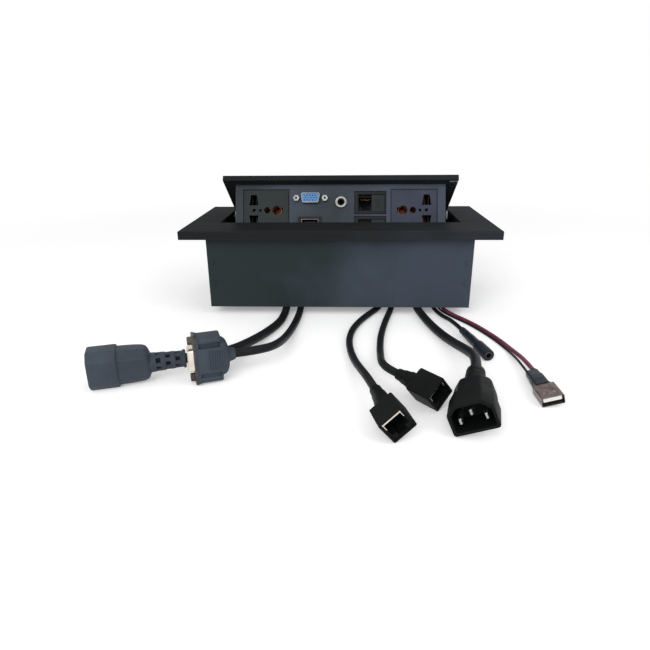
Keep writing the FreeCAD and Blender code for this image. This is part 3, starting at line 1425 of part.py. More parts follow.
def write_parts():
    """Build and write every node."""
    save("bezel_frame", bezel_frame())
    save("housing_shell", housing_shell())
    save("bottom_cover", bottom_cover())
    save("cable_comb", cable_comb())
    save("bezel_screws", bezel_screws())
    save("wall_fasteners", cover_screws() + corner_rivets())
    save("pivot_pins", pivot_pins())
    save("friction_washers", friction_washers())
    save("latch_body", latch_body())
    save("latch_plunger", latch_plunger())
    save("latch_spring", latch_spring())
    save("lid_plate", lid_plate())
    save("module_panel", module_panel())
    save("hinge_blocks", hinge_blocks())
    save("hinge_screws", hinge_screws())
    save("lid_screws", lid_screws())
    save("stop_studs", stop_studs())
    save("striker", striker())
    for side, sign in (("left", -1), ("right", 1)):
        save(f"socket_face_{side}", socket_face(sign))
        save(f"socket_body_{side}", socket_body(sign))
        save(f"socket_contacts_{side}", socket_contacts(sign))
    save("vga_shell", vga_shell())
    save("vga_insert", vga_insert())
    save("vga_jackscrews", vga_jackscrews())
    save("hdmi_housing", hdmi_housing())
    save("hdmi_shell", hdmi_shell())
    save("audio_jack", audio_jack())
    save("audio_nut", audio_nut())
    save("usb_port_shell", usb_port_shell())
    save("usb_port_tongue", usb_port_tongue())
    for level, side in enumerate(("upper", "lower")):
        save(f"network_frame_{side}", network_frame(level))
        save(f"network_jack_{side}", network_jack(level))
        save(f"network_shutter_{side}", network_shutter(level))
    save("inner_leads", inner_leads())
    save("mains_cord_left", outer_lead("mains left", comb_mains_left, mains_left_route, mains_radius))
    save("mains_cord_right", outer_lead("mains right", comb_mains_right, mains_right_route, mains_radius))
    save("vga_cord", outer_lead("screen", comb_vga, vga_route, vga_cord_radius))
    save("network_cord_left", outer_lead("network left", comb_net_left, net_left_route, net_cord_radius))
    save("network_cord_right", outer_lead("network right", comb_net_right, net_right_route, net_cord_radius))
    save("audio_cord", outer_lead("sound", comb_audio, audio_route, audio_cord_radius))
    save("usb_wire_dark", outer_lead("charging dark", comb_usb_dark, usb_dark_route, usb_dark_radius))
    save("usb_wire_red", outer_lead("charging red", comb_usb_red, usb_red_route, usb_red_radius))
    save("mains_plug_left", mains_plug(mains_left_route, mains_left_roll))
    save("mains_pins_left", mains_pins(mains_left_route, mains_left_roll))
    save("mains_plug_right", mains_plug(mains_right_route, mains_right_roll))
    save("mains_pins_right", mains_pins(mains_right_route, mains_right_roll))
    save("vga_hood", vga_hood())
    save("vga_lead_socket", vga_lead_socket())
    save("network_coupler_left", network_coupler(net_left_route, coupler_relief_left))
    save("network_coupler_right", network_coupler(net_right_route, coupler_relief_right))
    save("audio_lead_socket", audio_lead_socket())
    save("usb_boot", usb_boot())
    save("usb_lead_socket", usb_lead_socket())
    save("usb_lead_tongue", usb_lead_tongue())


write_parts()
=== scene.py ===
import json
import math

import bmesh
import bpy
from mathutils import Matrix, Vector


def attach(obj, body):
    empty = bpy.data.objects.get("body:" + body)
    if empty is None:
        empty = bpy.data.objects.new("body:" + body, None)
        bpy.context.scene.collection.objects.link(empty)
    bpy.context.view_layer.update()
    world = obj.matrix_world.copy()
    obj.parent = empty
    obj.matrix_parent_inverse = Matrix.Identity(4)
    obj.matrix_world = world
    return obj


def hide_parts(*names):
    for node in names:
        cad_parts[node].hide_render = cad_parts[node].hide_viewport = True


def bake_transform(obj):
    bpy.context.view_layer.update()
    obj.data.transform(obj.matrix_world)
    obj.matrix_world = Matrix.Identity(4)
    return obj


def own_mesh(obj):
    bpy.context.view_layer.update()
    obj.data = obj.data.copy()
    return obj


# Looks of the table connection box. Shapes are drawn in millimetres, and routes and places are metres.

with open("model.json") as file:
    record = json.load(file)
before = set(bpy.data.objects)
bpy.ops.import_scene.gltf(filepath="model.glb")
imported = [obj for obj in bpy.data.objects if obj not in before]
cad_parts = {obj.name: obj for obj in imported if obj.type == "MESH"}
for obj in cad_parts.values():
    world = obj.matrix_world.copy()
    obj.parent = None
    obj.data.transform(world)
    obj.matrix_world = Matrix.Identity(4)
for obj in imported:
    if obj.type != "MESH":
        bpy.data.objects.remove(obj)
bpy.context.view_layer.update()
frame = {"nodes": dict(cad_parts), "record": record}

MM = 0.001
scene = bpy.context.scene
nodes = frame["nodes"]


# Camera and leads

PHOTO_WIDTH = 650.0  # pixels
FOCAL_LENGTH = 535.79  # pixels
SENSOR_WIDTH = 36.0  # millimetres
CAMERA_PLACE = (0.007326, -0.48904, 0.15779)
CAMERA_RIGHT = (0.99911, 0.04117, -0.00873)
CAMERA_UP = (-0.00667, 0.35972, 0.93304)
CAMERA_BACK = (0.04156, -0.93215, 0.35968)


def add_camera():
    """The photo's camera, as worked out from the corners of the frame and the housing in the photo."""
    data = bpy.data.cameras.new("camera")
    data.sensor_width = SENSOR_WIDTH
    data.lens = SENSOR_WIDTH * FOCAL_LENGTH / PHOTO_WIDTH
    data.clip_start = 0.01
    data.clip_end = 20.0
    camera = bpy.data.objects.new("camera", data)
    place = Matrix((CAMERA_RIGHT, CAMERA_UP, CAMERA_BACK)).transposed().to_4x4()
    place.translation = CAMERA_PLACE
    camera.matrix_world = place
    scene.collection.objects.link(camera)
    scene.camera = camera


add_camera()

# The way of each lead, from the comb to its end
ROUTES = {
    "mains_left": [
        (-0.0466, -0.005, 0.007), (-0.0466, -0.024, 0.007), (-0.046, -0.043, 0.0035),
        (-0.0456, -0.063, 0.0034), (-0.0474, -0.084, 0.0034), (-0.0552, -0.107, 0.0037),
        (-0.0624, -0.1306, 0.0066), (-0.0681, -0.1471, 0.0092), (-0.073, -0.1581, 0.0111),
        (-0.0796, -0.1662, 0.0124), (-0.0882, -0.1722, 0.013), (-0.0982, -0.1756, 0.013),
    ],
    "vga": [
        (-0.034, -0.005, 0.007), (-0.034, -0.024, 0.007), (-0.0334, -0.044, 0.0031),
        (-0.0336, -0.067, 0.003), (-0.0352, -0.088, 0.0032), (-0.0369, -0.1085, 0.0049),
        (-0.0387, -0.128, 0.0076), (-0.0406, -0.1445, 0.0112), (-0.0434, -0.157, 0.014),
        (-0.0487, -0.1661, 0.016), (-0.0563, -0.1723, 0.017), (-0.0654, -0.1758, 0.017),
    ],
    "net_left": [
        (0.0405, -0.005, 0.007), (0.0405, -0.024, 0.007), (0.0356, -0.042, 0.0028),
        (0.0266, -0.0585, 0.0027), (0.0176, -0.077, 0.0027), (0.0112, -0.097, 0.0027),
        (0.0086, -0.1175, 0.0027), (0.0096, -0.1385, 0.0029), (0.0126, -0.159, 0.0044),
        (0.0166, -0.1786, 0.0074), (0.02, -0.1963, 0.0108), (0.0238, -0.2115, 0.0108),
    ],
    "net_right": [
        (0.0485, -0.005, 0.007), (0.0485, -0.024, 0.007), (0.046, -0.043, 0.0028),
        (0.0413, -0.064, 0.0027), (0.0367, -0.086, 0.0027), (0.0329, -0.109, 0.0027),
        (0.031, -0.1315, 0.0028), (0.0304, -0.151, 0.0046), (0.0299, -0.166, 0.0078),
        (0.0312, -0.1774, 0.01), (0.0342, -0.1849, 0.0108), (0.0388, -0.1906, 0.0108),
    ],
    "mains_right": [
        (0.066, -0.005, 0.007), (0.066, -0.024, 0.007), (0.0672, -0.043, 0.0035),
        (0.0698, -0.064, 0.0034), (0.0736, -0.086, 0.0034), (0.0788, -0.1075, 0.0037),
        (0.0842, -0.1285, 0.0056), (0.0888, -0.1498, 0.0094), (0.091, -0.1705, 0.0134),
        (0.0861, -0.1899, 0.0134),
    ],
    "audio": [
        (0.0796, -0.005, 0.007), (0.0796, -0.024, 0.007), (0.082, -0.042, 0.0022),
        (0.0866, -0.0608, 0.0018), (0.0923, -0.0797, 0.0042), (0.096, -0.0996, 0.0042),
    ],
    "usb_dark": [
        (0.0848, -0.005, 0.007), (0.0848, -0.024, 0.007), (0.0862, -0.0419, 0.0015),
        (0.094, -0.0587, 0.0009), (0.1044, -0.0753, 0.0009), (0.1123, -0.0935, 0.0009),
        (0.1189, -0.1134, 0.0009), (0.1232, -0.1343, 0.0012), (0.1232, -0.1559, 0.0041),
        (0.1234, -0.1749, 0.0041),
    ],
    "usb_red": [
        (0.0886, -0.005, 0.007), (0.0886, -0.024, 0.007), (0.089, -0.0415, 0.0023),
        (0.0964, -0.0576, 0.0016), (0.1066, -0.0742, 0.0016), (0.1146, -0.0926, 0.0016),
        (0.1214, -0.1128, 0.0016), (0.1258, -0.1338, 0.0019), (0.1274, -0.1559, 0.0047),
        (0.1278, -0.1749, 0.0047),
    ],
}

# The CAD node of each lead, its length and diameter in metres, its end and its stiffness
LEADS = {
    "mains_left": ("mains_cord_left", 0.190, 0.0066, "plug", "medium"),
    "vga": ("vga_cord", 0.184, 0.0058, "connector", "medium"),
    "net_left": ("network_cord_left", 0.215, 0.0052, "connector", "medium"),
    "net_right": ("network_cord_right", 0.190, 0.0052, "connector", "limp"),
    "mains_right": ("mains_cord_right", 0.189, 0.0066, "plug", "medium"),
    "audio": ("audio_cord", 0.097, 0.0034, "connector", "medium"),
    "usb_dark": ("usb_wire_dark", 0.178, 0.0016, "connector", "limp"),
    "usb_red": ("usb_wire_red", 0.178, 0.0030, "connector", "limp"),
}


def nurbs(name, points, radius=0.0):
    """A smooth curve with the points as its control points, as a tube if it has a radius, which the points
    carry so that the curve's box is its own size."""
    curve = bpy.data.curves.new(name, "CURVE")
    curve.dimensions = "3D"
    curve.resolution_u = 10
    curve.bevel_depth = 1.0 if radius else 0.0
    curve.bevel_resolution = 5
    curve.use_fill_caps = True
    line = curve.splines.new("NURBS")
    line.points.add(len(points) - 1)
    for spot, place in zip(line.points, points):
        spot.co = (*place, 1.0)
        spot.radius = radius
    line.order_u = 3
    line.use_endpoint_u = True
    made = bpy.data.objects.new(name, curve)
    scene.collection.objects.link(made)
    return made


CORDS = {}
for key, (node, _, diameter, _, _) in LEADS.items():
    tube = nurbs("lead_" + key, ROUTES[key], diameter / 2)
    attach(tube, "base")
    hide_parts(node)
    CORDS[key] = tube


# Shader nodes

def linear(colour):
    """An 8-bit display colour as scene-linear numbers, by the sRGB curve."""
    shares = [value / 255 for value in colour]
    return tuple(((s + 0.055) / 1.055) ** 2.4 if s > 0.04045 else s / 12.92 for s in shares) + (1.0,)


def add(tree, kind, settings=None, **inputs):
    """A shader node with its settings. Its inputs go by name, or by number as in i0, and may be links."""
    made = tree.nodes.new(kind)
    for key, value in (settings or {}).items():
        setattr(made, key, value)
    for key, value in inputs.items():
        numbered = key[0] == "i" and key[1:].isdigit()
        socket = made.inputs[int(key[1:]) if numbered else key.replace("_", " ")]
        if isinstance(value, bpy.types.NodeSocket):
            tree.links.new(value, socket)
        else:
            socket.default_value = value
    return made


def worked(tree, operation, *values):
    """What a math node makes of its values."""
    inputs = {f"i{index}": value for index, value in enumerate(values)}
    return add(tree, "ShaderNodeMath", {"operation": operation}, **inputs).outputs[0]


def ranged(tree, value, span, low=0.0, high=1.0):
    """A value brought from its own span to that from low to high, and held inside it."""
    return add(tree, "ShaderNodeMapRange", i0=value, i1=span[0], i2=span[1], i3=low, i4=high).outputs[0]


def noise(tree, place, scale, detail, roughness):
    """Cloudy noise from nought to one."""
    made = add(tree, "ShaderNodeTexNoise", Vector=place, Scale=scale, Detail=detail, Roughness=roughness)
    return made.outputs[0]


def mixed(tree, share, first, second, way="MIX"):
    """Two colours as one, with this share of the second."""
    settings = {"data_type": "RGBA", "blend_type": way}
    return add(tree, "ShaderNodeMix", settings, i0=share, i6=first, i7=second).outputs[2]


# Finishes

PATCH_SPAN = (0.34, 0.66)  # the part of the broad noise that goes from the first colour to the second
GRAIN_SPAN = (0.3, 0.7)  # the part of the fine noise that changes shade and gloss
EDGE_SPAN = (0.99, 0.8)  # how far the rounded normal agrees with the true one, from plain to worn and highlit
EDGE_REACH = 0.0005  # metres


def worn_and_highlit_edges(tree, fine):
    """High along edges and broken up by the fine grain, nought elsewhere: worn edges with a painted
    highlight.
    """
    soft = add(tree, "ShaderNodeBevel", {"samples": 6}, Radius=EDGE_REACH).outputs[0]
    straight = add(tree, "ShaderNodeNewGeometry").outputs["Normal"]
    match = add(tree, "ShaderNodeVectorMath", {"operation": "DOT_PRODUCT"}, i0=soft, i1=straight)
    return worked(tree, "MULTIPLY", ranged(tree, match.outputs["Value"], EDGE_SPAN), fine)


def finish(name, first, second, rough=(0.42, 0.56), grain=1500.0, relief=0.00004, strength=0.35,
           stretch=(1, 1, 1), patches=14.0, metal=0.0, speckle=0.12, wear_and_highlight=None, specular=0.1, drift=0.0,
           middle=0.0):
    """A finish that varies in colour, gloss and relief: broad patches between two colours, which drift
    from the first on the left of middle to the second on its right as painted light and shade, a fine
    grain that may be drawn out along one axis, and paler edges, worn and with a painted highlight, where
    their colour is given."""
    material = bpy.data.materials.new(name)
    material.use_nodes = True
    tree = material.node_tree
    place = add(tree, "ShaderNodeTexCoord").outputs["Object"]
    drawn = add(tree, "ShaderNodeMapping", i0=place, Scale=stretch).outputs[0]
    broad = noise(tree, place, patches, detail=3.0, roughness=0.55)
    fine = noise(tree, drawn, grain, detail=4.0, roughness=0.6)
    # Painted light and shade across X: the colour moves towards the second one to the right of middle
    if drift:
        side = add(tree, "ShaderNodeSeparateXYZ", Vector=place).outputs["X"]
        broad = worked(tree, "MULTIPLY_ADD", worked(tree, "SUBTRACT", side, middle), drift, broad)
    colour = mixed(tree, ranged(tree, broad, PATCH_SPAN), linear(first), linear(second))
    shade = ranged(tree, fine, GRAIN_SPAN, 1.0 - speckle, 1.0 + speckle)
    colour = mixed(tree, 1.0, colour, shade, "MULTIPLY")
    # Paler edges, partly worn paint and partly painted highlight
    if wear_and_highlight:
        colour = mixed(tree, worn_and_highlit_edges(tree, fine), colour, linear(wear_and_highlight))
    bump = add(tree, "ShaderNodeBump", Strength=strength, Distance=relief, Height=fine)
    shader = tree.nodes["Principled BSDF"]
    tree.links.new(colour, shader.inputs["Base Color"])
    tree.links.new(ranged(tree, fine, GRAIN_SPAN, *rough), shader.inputs["Roughness"])
    tree.links.new(bump.outputs[0], shader.inputs["Normal"])
    shader.inputs["Metallic"].default_value = metal
    shader.inputs["Specular IOR Level"].default_value = specular
    return material


# A look's edge colour is the pale of its worn edges together with a painted highlight along them
LOOKS = {
    # The frame and lid, brushed along X, paler towards the right as painted light
    "black_anodised": dict(
        first=(35, 37, 38), second=(45, 48, 52), rough=(0.36, 0.5), grain=260.0, stretch=(0.06, 3.0, 3.0),
        relief=0.00001, strength=0.2, speckle=0.06, wear_and_highlight=(62, 64, 66), specular=0.002, drift=2.0,
        middle=0.06),
    # The housing and its cover, paler towards the right as painted light
    "slate_paint": dict(
        first=(37, 46, 48), second=(60, 68, 79), grain=1300.0, relief=0.00005, strength=0.4, patches=11.0,
        speckle=0.06, wear_and_highlight=(66, 74, 82), drift=1.7, middle=0.035),
    # The connection panel, paler towards the right as painted light
    "panel_paint": dict(
        first=(43, 50, 53), second=(65, 73, 86), rough=(0.4, 0.54), speckle=0.06, patches=16.0,
        wear_and_highlight=(92, 100, 110), drift=2.2, middle=-0.03),
    # Moulded plastics
    "black_plastic": dict(
        first=(14, 16, 15), second=(19, 20, 21), rough=(0.4, 0.56), grain=2600.0, strength=0.4, patches=40.0,
        specular=0.06),
    "grey_plastic": dict(
        first=(52, 59, 67), second=(60, 68, 78), rough=(0.45, 0.6), grain=2400.0, relief=0.00005,
        strength=0.4, patches=45.0, specular=0.14),
    "dark_plastic": dict(
        first=(20, 24, 27), second=(27, 31, 35), rough=(0.36, 0.5), grain=2200.0, relief=0.00003,
        strength=0.3, patches=30.0),
    "white_plastic": dict(
        first=(218, 218, 212), second=(230, 230, 226), rough=(0.3, 0.42), grain=1800.0, relief=0.00003,
        strength=0.25, patches=50.0, speckle=0.04, specular=0.4),
    "blue_plastic": dict(
        first=(46, 106, 160), second=(66, 126, 182), rough=(0.3, 0.42), grain=2400.0, relief=0.00003,
        strength=0.3, patches=160.0, speckle=0.06, specular=0.3),
    "navy_plastic": dict(
        first=(20, 26, 36), second=(27, 35, 46), rough=(0.36, 0.5), grain=2400.0, strength=0.4, patches=60.0,
        specular=0.2),
    # The faces of the mains sockets, and the network sockets' shutters
    "left_face": dict(
        first=(31, 37, 38), second=(38, 44, 45), rough=(0.38, 0.5), grain=2200.0, relief=0.00003,
        strength=0.3, patches=30.0, wear_and_highlight=(78, 86, 90)),
    "right_face": dict(
        first=(52, 57, 70), second=(59, 64, 78), rough=(0.38, 0.5), grain=2200.0, relief=0.00003,
        strength=0.3, patches=30.0, wear_and_highlight=(88, 94, 106)),
    "shutter": dict(
        first=(36, 40, 41), second=(42, 46, 48), rough=(0.4, 0.52), grain=2400.0, relief=0.00003,
        strength=0.3, patches=60.0),
    # Rubber and cord sheaths
    "black_rubber": dict(
        first=(20, 21, 22), second=(27, 28, 29), rough=(0.6, 0.78), grain=1800.0, relief=0.00006,
        strength=0.45, patches=50.0),
    "cord_black": dict(
        first=(20, 22, 23), second=(28, 30, 32), rough=(0.38, 0.52), grain=1100.0, relief=0.00006,
        patches=60.0),
    "cord_red": dict(
        first=(98, 42, 60), second=(124, 64, 86), rough=(0.34, 0.46), grain=1400.0, strength=0.3,
        patches=70.0, speckle=0.08, specular=0.25),
    # Metals
    "steel": dict(
        first=(150, 150, 150), second=(172, 172, 172), rough=(0.26, 0.42), grain=1200.0, stretch=(1, 1, 5),
        relief=0.00002, strength=0.25, patches=90.0, metal=1.0, speckle=0.1),
    "nickel": dict(
        first=(108, 108, 108), second=(132, 131, 129), rough=(0.34, 0.48), grain=900.0, stretch=(1, 4, 1),
        relief=0.00002, strength=0.25, patches=120.0, metal=1.0, speckle=0.1),
    "pale_nickel": dict(
        first=(206, 198, 186), second=(222, 216, 206), rough=(0.22, 0.36), grain=1200.0, relief=0.00002,
        strength=0.25, patches=150.0, metal=1.0, speckle=0.06),
    "brown_nickel": dict(
        first=(90, 76, 73), second=(118, 104, 100), rough=(0.24, 0.4), grain=1200.0, relief=0.00002,
        strength=0.25, patches=220.0, metal=0.9),
    "dark_nickel": dict(
        first=(62, 57, 55), second=(88, 82, 78), rough=(0.26, 0.42), grain=1200.0, relief=0.00002,
        strength=0.25, patches=150.0, metal=0.8),
    # Gold darkened as painted shade, for contacts deep in their ports and in the charging plug's shell
    "gold": dict(
        first=(112, 86, 46), second=(136, 106, 60), rough=(0.2, 0.34), stretch=(1, 4, 1), relief=0.00001,
        strength=0.2, patches=200.0, metal=1.0),
    # Contact springs, in shadow at the left of the left socket and the right of the right one
    "copper_left": dict(
        first=(20, 15, 13), second=(98, 56, 38), rough=(0.34, 0.5), stretch=(1, 5, 1), relief=0.00002,
        patches=150.0, metal=0.8, speckle=0.14, drift=80.0, middle=-0.0672),
    "copper_right": dict(
        first=(98, 56, 38), second=(44, 27, 21), rough=(0.34, 0.5), stretch=(1, 5, 1), relief=0.00002,
        patches=150.0, metal=0.8, speckle=0.14, drift=80.0, middle=0.0672),
}
FINISH = {name: finish(name, **look) for name, look in LOOKS.items()}

# Nodes whose look isn't the one of their slot, and every node's slot
SPECIAL = {
    "hdmi_shell": "dark_nickel",
    "network_shutter_lower": "shutter",
    "network_shutter_upper": "shutter",
    "socket_contacts_left": "copper_left",
    "socket_contacts_right": "copper_right",
    "socket_face_left": "left_face",
    "socket_face_right": "right_face",
    "wall_fasteners": "slate_paint",
}
SLOTS = {part["node"]: part["material_slot"] for part in frame["record"]["subparts"]}
for name, made in nodes.items():
    made.data.materials.clear()
    made.data.materials.append(FINISH[SPECIAL.get(name) or SLOTS[name]])


# Outlines

MOST_OF_SIDE = 0.48  # a corner's curve takes up no more than this share of a side
ROUND = 32  # sides of a round outline


def rounded(corners, radius, steps=4):
    """A closed outline with every corner turned in a smooth curve."""
    count = len(corners)
    points = []
    for i in range(count):
        before, here, after = (Vector(corners[(i + k) % count]) for k in (-1, 0, 1))
        inward, outward = (before - here), (after - here)
        half = inward.angle(outward) / 2
        reach = min(radius / math.tan(half), MOST_OF_SIDE * inward.length, MOST_OF_SIDE * outward.length)
        start = here + inward.normalized() * reach
        end = here + outward.normalized() * reach
        for k in range(steps + 1):
            t = k / steps
            points.append(tuple(start * (1 - t) ** 2 + here * (2 * t * (1 - t)) + end * t ** 2))
    return points


def rectangle(width, height, x=0.0, z=0.0):
    """The (x, z) corners of a rectangle about its middle."""
    w, h = width / 2, height / 2
    return [(x - w, z - h), (x + w, z - h), (x + w, z + h), (x - w, z + h)]


def oblong(width, height, radius, steps=4, x=0.0, z=0.0):
    """A rectangle with rounded corners."""
    return rounded(rectangle(width, height, x, z), radius, steps)


def circle(radius, sides=ROUND, x=0.0, z=0.0):
    """A round outline, or a regular one of a few sides, with its first corner towards +X."""
    angles = [2 * math.pi * i / sides for i in range(sides)]
    return [(x + radius * math.cos(angle), z + radius * math.sin(angle)) for angle in angles]


# Shapes

LEAST_RADIUS = 0.05  # millimetres


def skin(made, rings, start_cap=True, end_cap=True):
    """Faces between rings of as many vertices each, and over the two ends."""
    for low, high in zip(rings, rings[1:]):
        for i in range(len(low)):
            k = (i + 1) % len(low)
            made.faces.new((low[i], low[k], high[k], high[i]))
    if start_cap:
        made.faces.new(rings[0][::-1])
    if end_cap:
        made.faces.new(rings[-1])


def loft(sections, start_cap=True, end_cap=True):
    """Skin over (y, outline) sections whose outlines have the same number of points."""
    made = bmesh.new()
    rings = [[made.verts.new((x, y, z)) for x, z in outline] for y, outline in sections]
    skin(made, rings, start_cap, end_cap)
    return made


def prism(low, high, outline):
    """One outline drawn out from y low to high."""
    return loft([(low, outline), (high, outline)])


def round_body(rows, sides=ROUND, x=0.0, z=0.0, start_cap=True, end_cap=True):
    """A body along Y through circles, with y and radius in each row."""
    return loft([(y, circle(radius, sides, x, z)) for y, radius in rows], start_cap, end_cap)


def oblong_body(rows, steps=4, x=0.0, z=0.0):
    """A body along Y through rounded rectangles, with y, width, height and corner radius in each row."""
    return loft([(y, oblong(width, height, radius, steps, x, z)) for y, width, height, radius in rows])


def tile(width, depth, height, radius, centre, edge=0.0):
    """A rounded block along Y about a centre, with its ends eased by edge."""
    x, y, z = centre
    low, high = y - depth / 2, y + depth / 2
    full = oblong(width, height, radius, 3, x, z)
    if not edge:
        return prism(low, high, full)
    small = oblong(width - 2 * edge, height - 2 * edge, max(radius - edge, LEAST_RADIUS), 3, x, z)
    return loft([(low, small), (low + edge, full), (high - edge, full), (high, small)])


def joined(parts):
    """Several shapes as one."""
    whole = bmesh.new()
    for part in parts:
        mesh = bpy.data.meshes.new("part")
        part.to_mesh(mesh)
        part.free()
        whole.from_mesh(mesh)
        bpy.data.meshes.remove(mesh)
    return whole


def turned(shape, angle, axis="Y"):
    """The shape turned about an axis through the origin."""
    shape.transform(Matrix.Rotation(math.radians(angle), 4, axis))
    return shape


def moved(shape, x=0.0, y=0.0, z=0.0):
    """The shape in another place."""
    shape.transform(Matrix.Translation((x, y, z)))
    return shape


# Objects from shapes

WELD = 1e-7  # metres between vertices that become one
PIECE_ANGLE = 32.0  # degrees at which a piece's edge is sharp
NODE_ANGLE = 40.0  # degrees at which a CAD node's edge is sharp


def as_object(name, shape):
    """An object in the scene with the shape as its mesh, which uses the shape up."""
    mesh = bpy.data.meshes.new(name)
    shape.to_mesh(mesh)
    shape.free()
    made = bpy.data.objects.new(name, mesh)
    scene.collection.objects.link(made)
    return made


def carved(shape, cutter):
    """The first shape with the second cut away."""
    pair = []
    for part in (shape, cutter):
        bmesh.ops.recalc_face_normals(part, faces=part.faces)
        pair.append(as_object("carve", part))
    work = pair[0].modifiers.new("cut", "BOOLEAN")
    work.operation = "DIFFERENCE"
    work.solver = "EXACT"
    work.object = pair[1]
    bpy.context.view_layer.update()
    cut = pair[0].evaluated_get(bpy.context.evaluated_depsgraph_get())
    result = bmesh.new()
    result.from_mesh(bpy.data.meshes.new_from_object(cut))
    for made in pair:
        bpy.data.objects.remove(made)
    return result


def shaded(made, look):
    """The object with smooth faces and a finish."""
    for face in made.data.polygons:
        face.use_smooth = True
    made.data.materials.append(FINISH[look])
    return made


def soften(made, width, angle=NODE_ANGLE):
    """Small rounded edges, with their width in millimetres."""
    work = made.modifiers.new("soft_edges", "BEVEL")
    work.width = width * MM
    work.segments = 2
    work.limit_method = "ANGLE"
    work.angle_limit = math.radians(angle)
    work.harden_normals = True


def piece(name, shape, place, look, replaces=(), body="base", bevel=0.0):
    """A finished object from a shape in millimetres, set in its place and riding on a body."""
    shape.transform(place @ Matrix.Scale(MM, 4))
    bmesh.ops.remove_doubles(shape, verts=shape.verts, dist=WELD)
    bmesh.ops.recalc_face_normals(shape, faces=shape.faces)
    made = shaded(as_object(name, shape), look)
    made.data.set_sharp_from_angle(angle=math.radians(PIECE_ANGLE))
    if bevel:
        soften(made, bevel, PIECE_ANGLE)
    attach(made, body)
    if replaces:
        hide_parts(*replaces)
    return made


def lead_end(key, roll=0.0, sideways=0.0):
    """Frame with y along a lead's last run and z up, at the end of its curve."""
    last, before = Vector(ROUTES[key][-1]), Vector(ROUTES[key][-2])
    way = last - before
    heading = Matrix.Rotation(math.atan2(way.y, way.x) - math.pi / 2, 4, "Z")
    aside = Matrix.Translation((sideways * MM, 0, 0))
    return Matrix.Translation(last) @ heading @ aside @ Matrix.Rotation(math.radians(roll), 4, "Y")


# The pieces at the end of each lead
WITH = {key: [] for key in ROUTES}


# Mains plugs

GRIP_PANEL = (31.0, 39.0)  # y of the sunk panels on the grip
LEVEL = 0.99  # least share of its normal that a level face has along Z
PIN_SPOTS = ((-7.0, -2.0), (0.0, 2.0), (7.0, -2.0))
RELIEF_RADIUS, RELIEF_GROWTH, RELIEF_LENGTH = 5.3, 1.2, 22.0
RIB_TURN = 60  # degrees from rib to rib


def plug_outline(width, height, cut, radius):
    """A rectangle with its two upper corners cut off."""
    w, h = width / 2, height / 2
    corners = [(-w, -h), (w, -h), (w, h - cut), (w - cut, h), (-w + cut, h), (-w, h - cut)]
    return rounded(corners, radius)


def plug_body():
    """Grip with soft shoulders that steps out into an open shroud. Each row is y and an outline's sizes."""
    sizes = [(21.0, 11.8, 11.4, 2.6, 3.2), (21.5, 13.8, 12.6, 3.2, 2.9), (22.3, 17.4, 14.0, 3.8, 2.7),
             (23.6, 20.2, 14.9, 4.3, 2.5), (25.6, 21.6, 15.3, 4.6, 2.3), (29.0, 22.3, 15.5, 4.8, 2.1),
             (33.5, 22.8, 15.7, 5.0, 2.0), (40.0, 23.2, 15.8, 5.0, 2.0), (40.5, 23.3, 15.9, 5.0, 2.0),
             (40.8, 24.4, 17.0, 5.0, 2.0), (41.2, 25.0, 17.6, 5.0, 2.0), (41.8, 25.2, 17.8, 5.0, 2.0),
             (57.4, 25.2, 17.8, 5.0, 2.0), (58.2, 24.9, 17.5, 5.0, 1.9), (58.5, 24.3, 16.9, 4.8, 1.8),
             (58.5, 22.2, 14.8, 4.4, 1.5), (58.2, 21.6, 14.2, 4.3, 1.4), (57.5, 21.3, 13.9, 4.2, 1.3),
             (43.0, 21.0, 13.6, 4.1, 1.2)]
    body = loft([(y, plug_outline(width, height, cut, radius)) for y, width, height, cut, radius in sizes])
    body.normal_update()
    low, high = GRIP_PANEL
    for side in (1, -1):
        flat = [face for face in body.faces
                if side * face.normal.z > LEVEL and low < face.calc_center_median().y < high]
        bmesh.ops.inset_region(body, faces=flat, thickness=1.5, depth=0.0)
        bmesh.ops.inset_region(body, faces=flat, thickness=0.3, depth=-0.35)
    return body


def ringed_relief():
    """Strain relief of rings joined by ribs with windows between them, and a rear collar."""
    def radius(y):
        """The relief's outer radius, which grows towards the plug."""
        return RELIEF_RADIUS + RELIEF_GROWTH * y / RELIEF_LENGTH

    parts = [round_body([(-0.9, 4.4), (-0.8, 5.6), (-0.4, 6.0), (0.6, 6.1), (1.1, 5.8), (1.2, 4.4)])]
    for low, high in ((0.6, 3.0), (5.6, 9.0), (11.6, 15.0), (17.6, 22.3)):
        rear, front = radius(low), radius(high)
        parts.append(round_body([(low, rear - 2.0), (low, rear - 0.4), (low + 0.35, rear),
                                 (high - 0.35, front), (high, front - 0.4), (high, front - 2.0)]))
    for index, low in enumerate((2.6, 8.6, 14.6)):
        for turn in range(0, 360, RIB_TURN):
            rib = tile(2.5, 3.4, 2.4, 0.4, (0, low + 1.7, radius(low) - 1.3))
            parts.append(turned(rib, turn + RIB_TURN / 2 * (index % 2)))
    return joined(parts)


def relief_core():
    """Dark core seen through a relief's windows."""
    return round_body([(-0.6, 3.35), (0.2, 3.9), (22.5, 4.7)])


def plain_relief():
    """Strain relief that flares towards the plug in shallow steps."""
    return round_body([
        (-0.6, 3.35), (0.0, 4.1), (0.5, 4.6), (2.6, 4.9), (3.2, 5.5), (3.8, 5.75), (8.8, 5.95), (9.2, 5.7),
        (10.2, 5.75), (10.6, 6.1), (15.2, 6.3), (15.6, 6.05), (16.6, 6.1), (17.0, 6.45), (22.5, 6.7)])


def plug_pins():
    """Three flat pins with eased tips."""
    sizes = [(42.6, 2.0, 4.0, 0.25), (55.2, 2.0, 4.0, 0.25), (55.7, 1.6, 3.5, 0.25), (56.0, 1.0, 2.8, 0.2)]
    return joined([oblong_body(sizes, 2, x, z) for x, z in PIN_SPOTS])


def plug_collars():
    """Low collars round the pins' roots."""
    sizes = [(42.9, 4.2, 6.2, 1.0), (43.5, 3.6, 5.6, 0.9)]
    return joined([oblong_body(sizes, 3, x, z) for x, z in PIN_SPOTS])


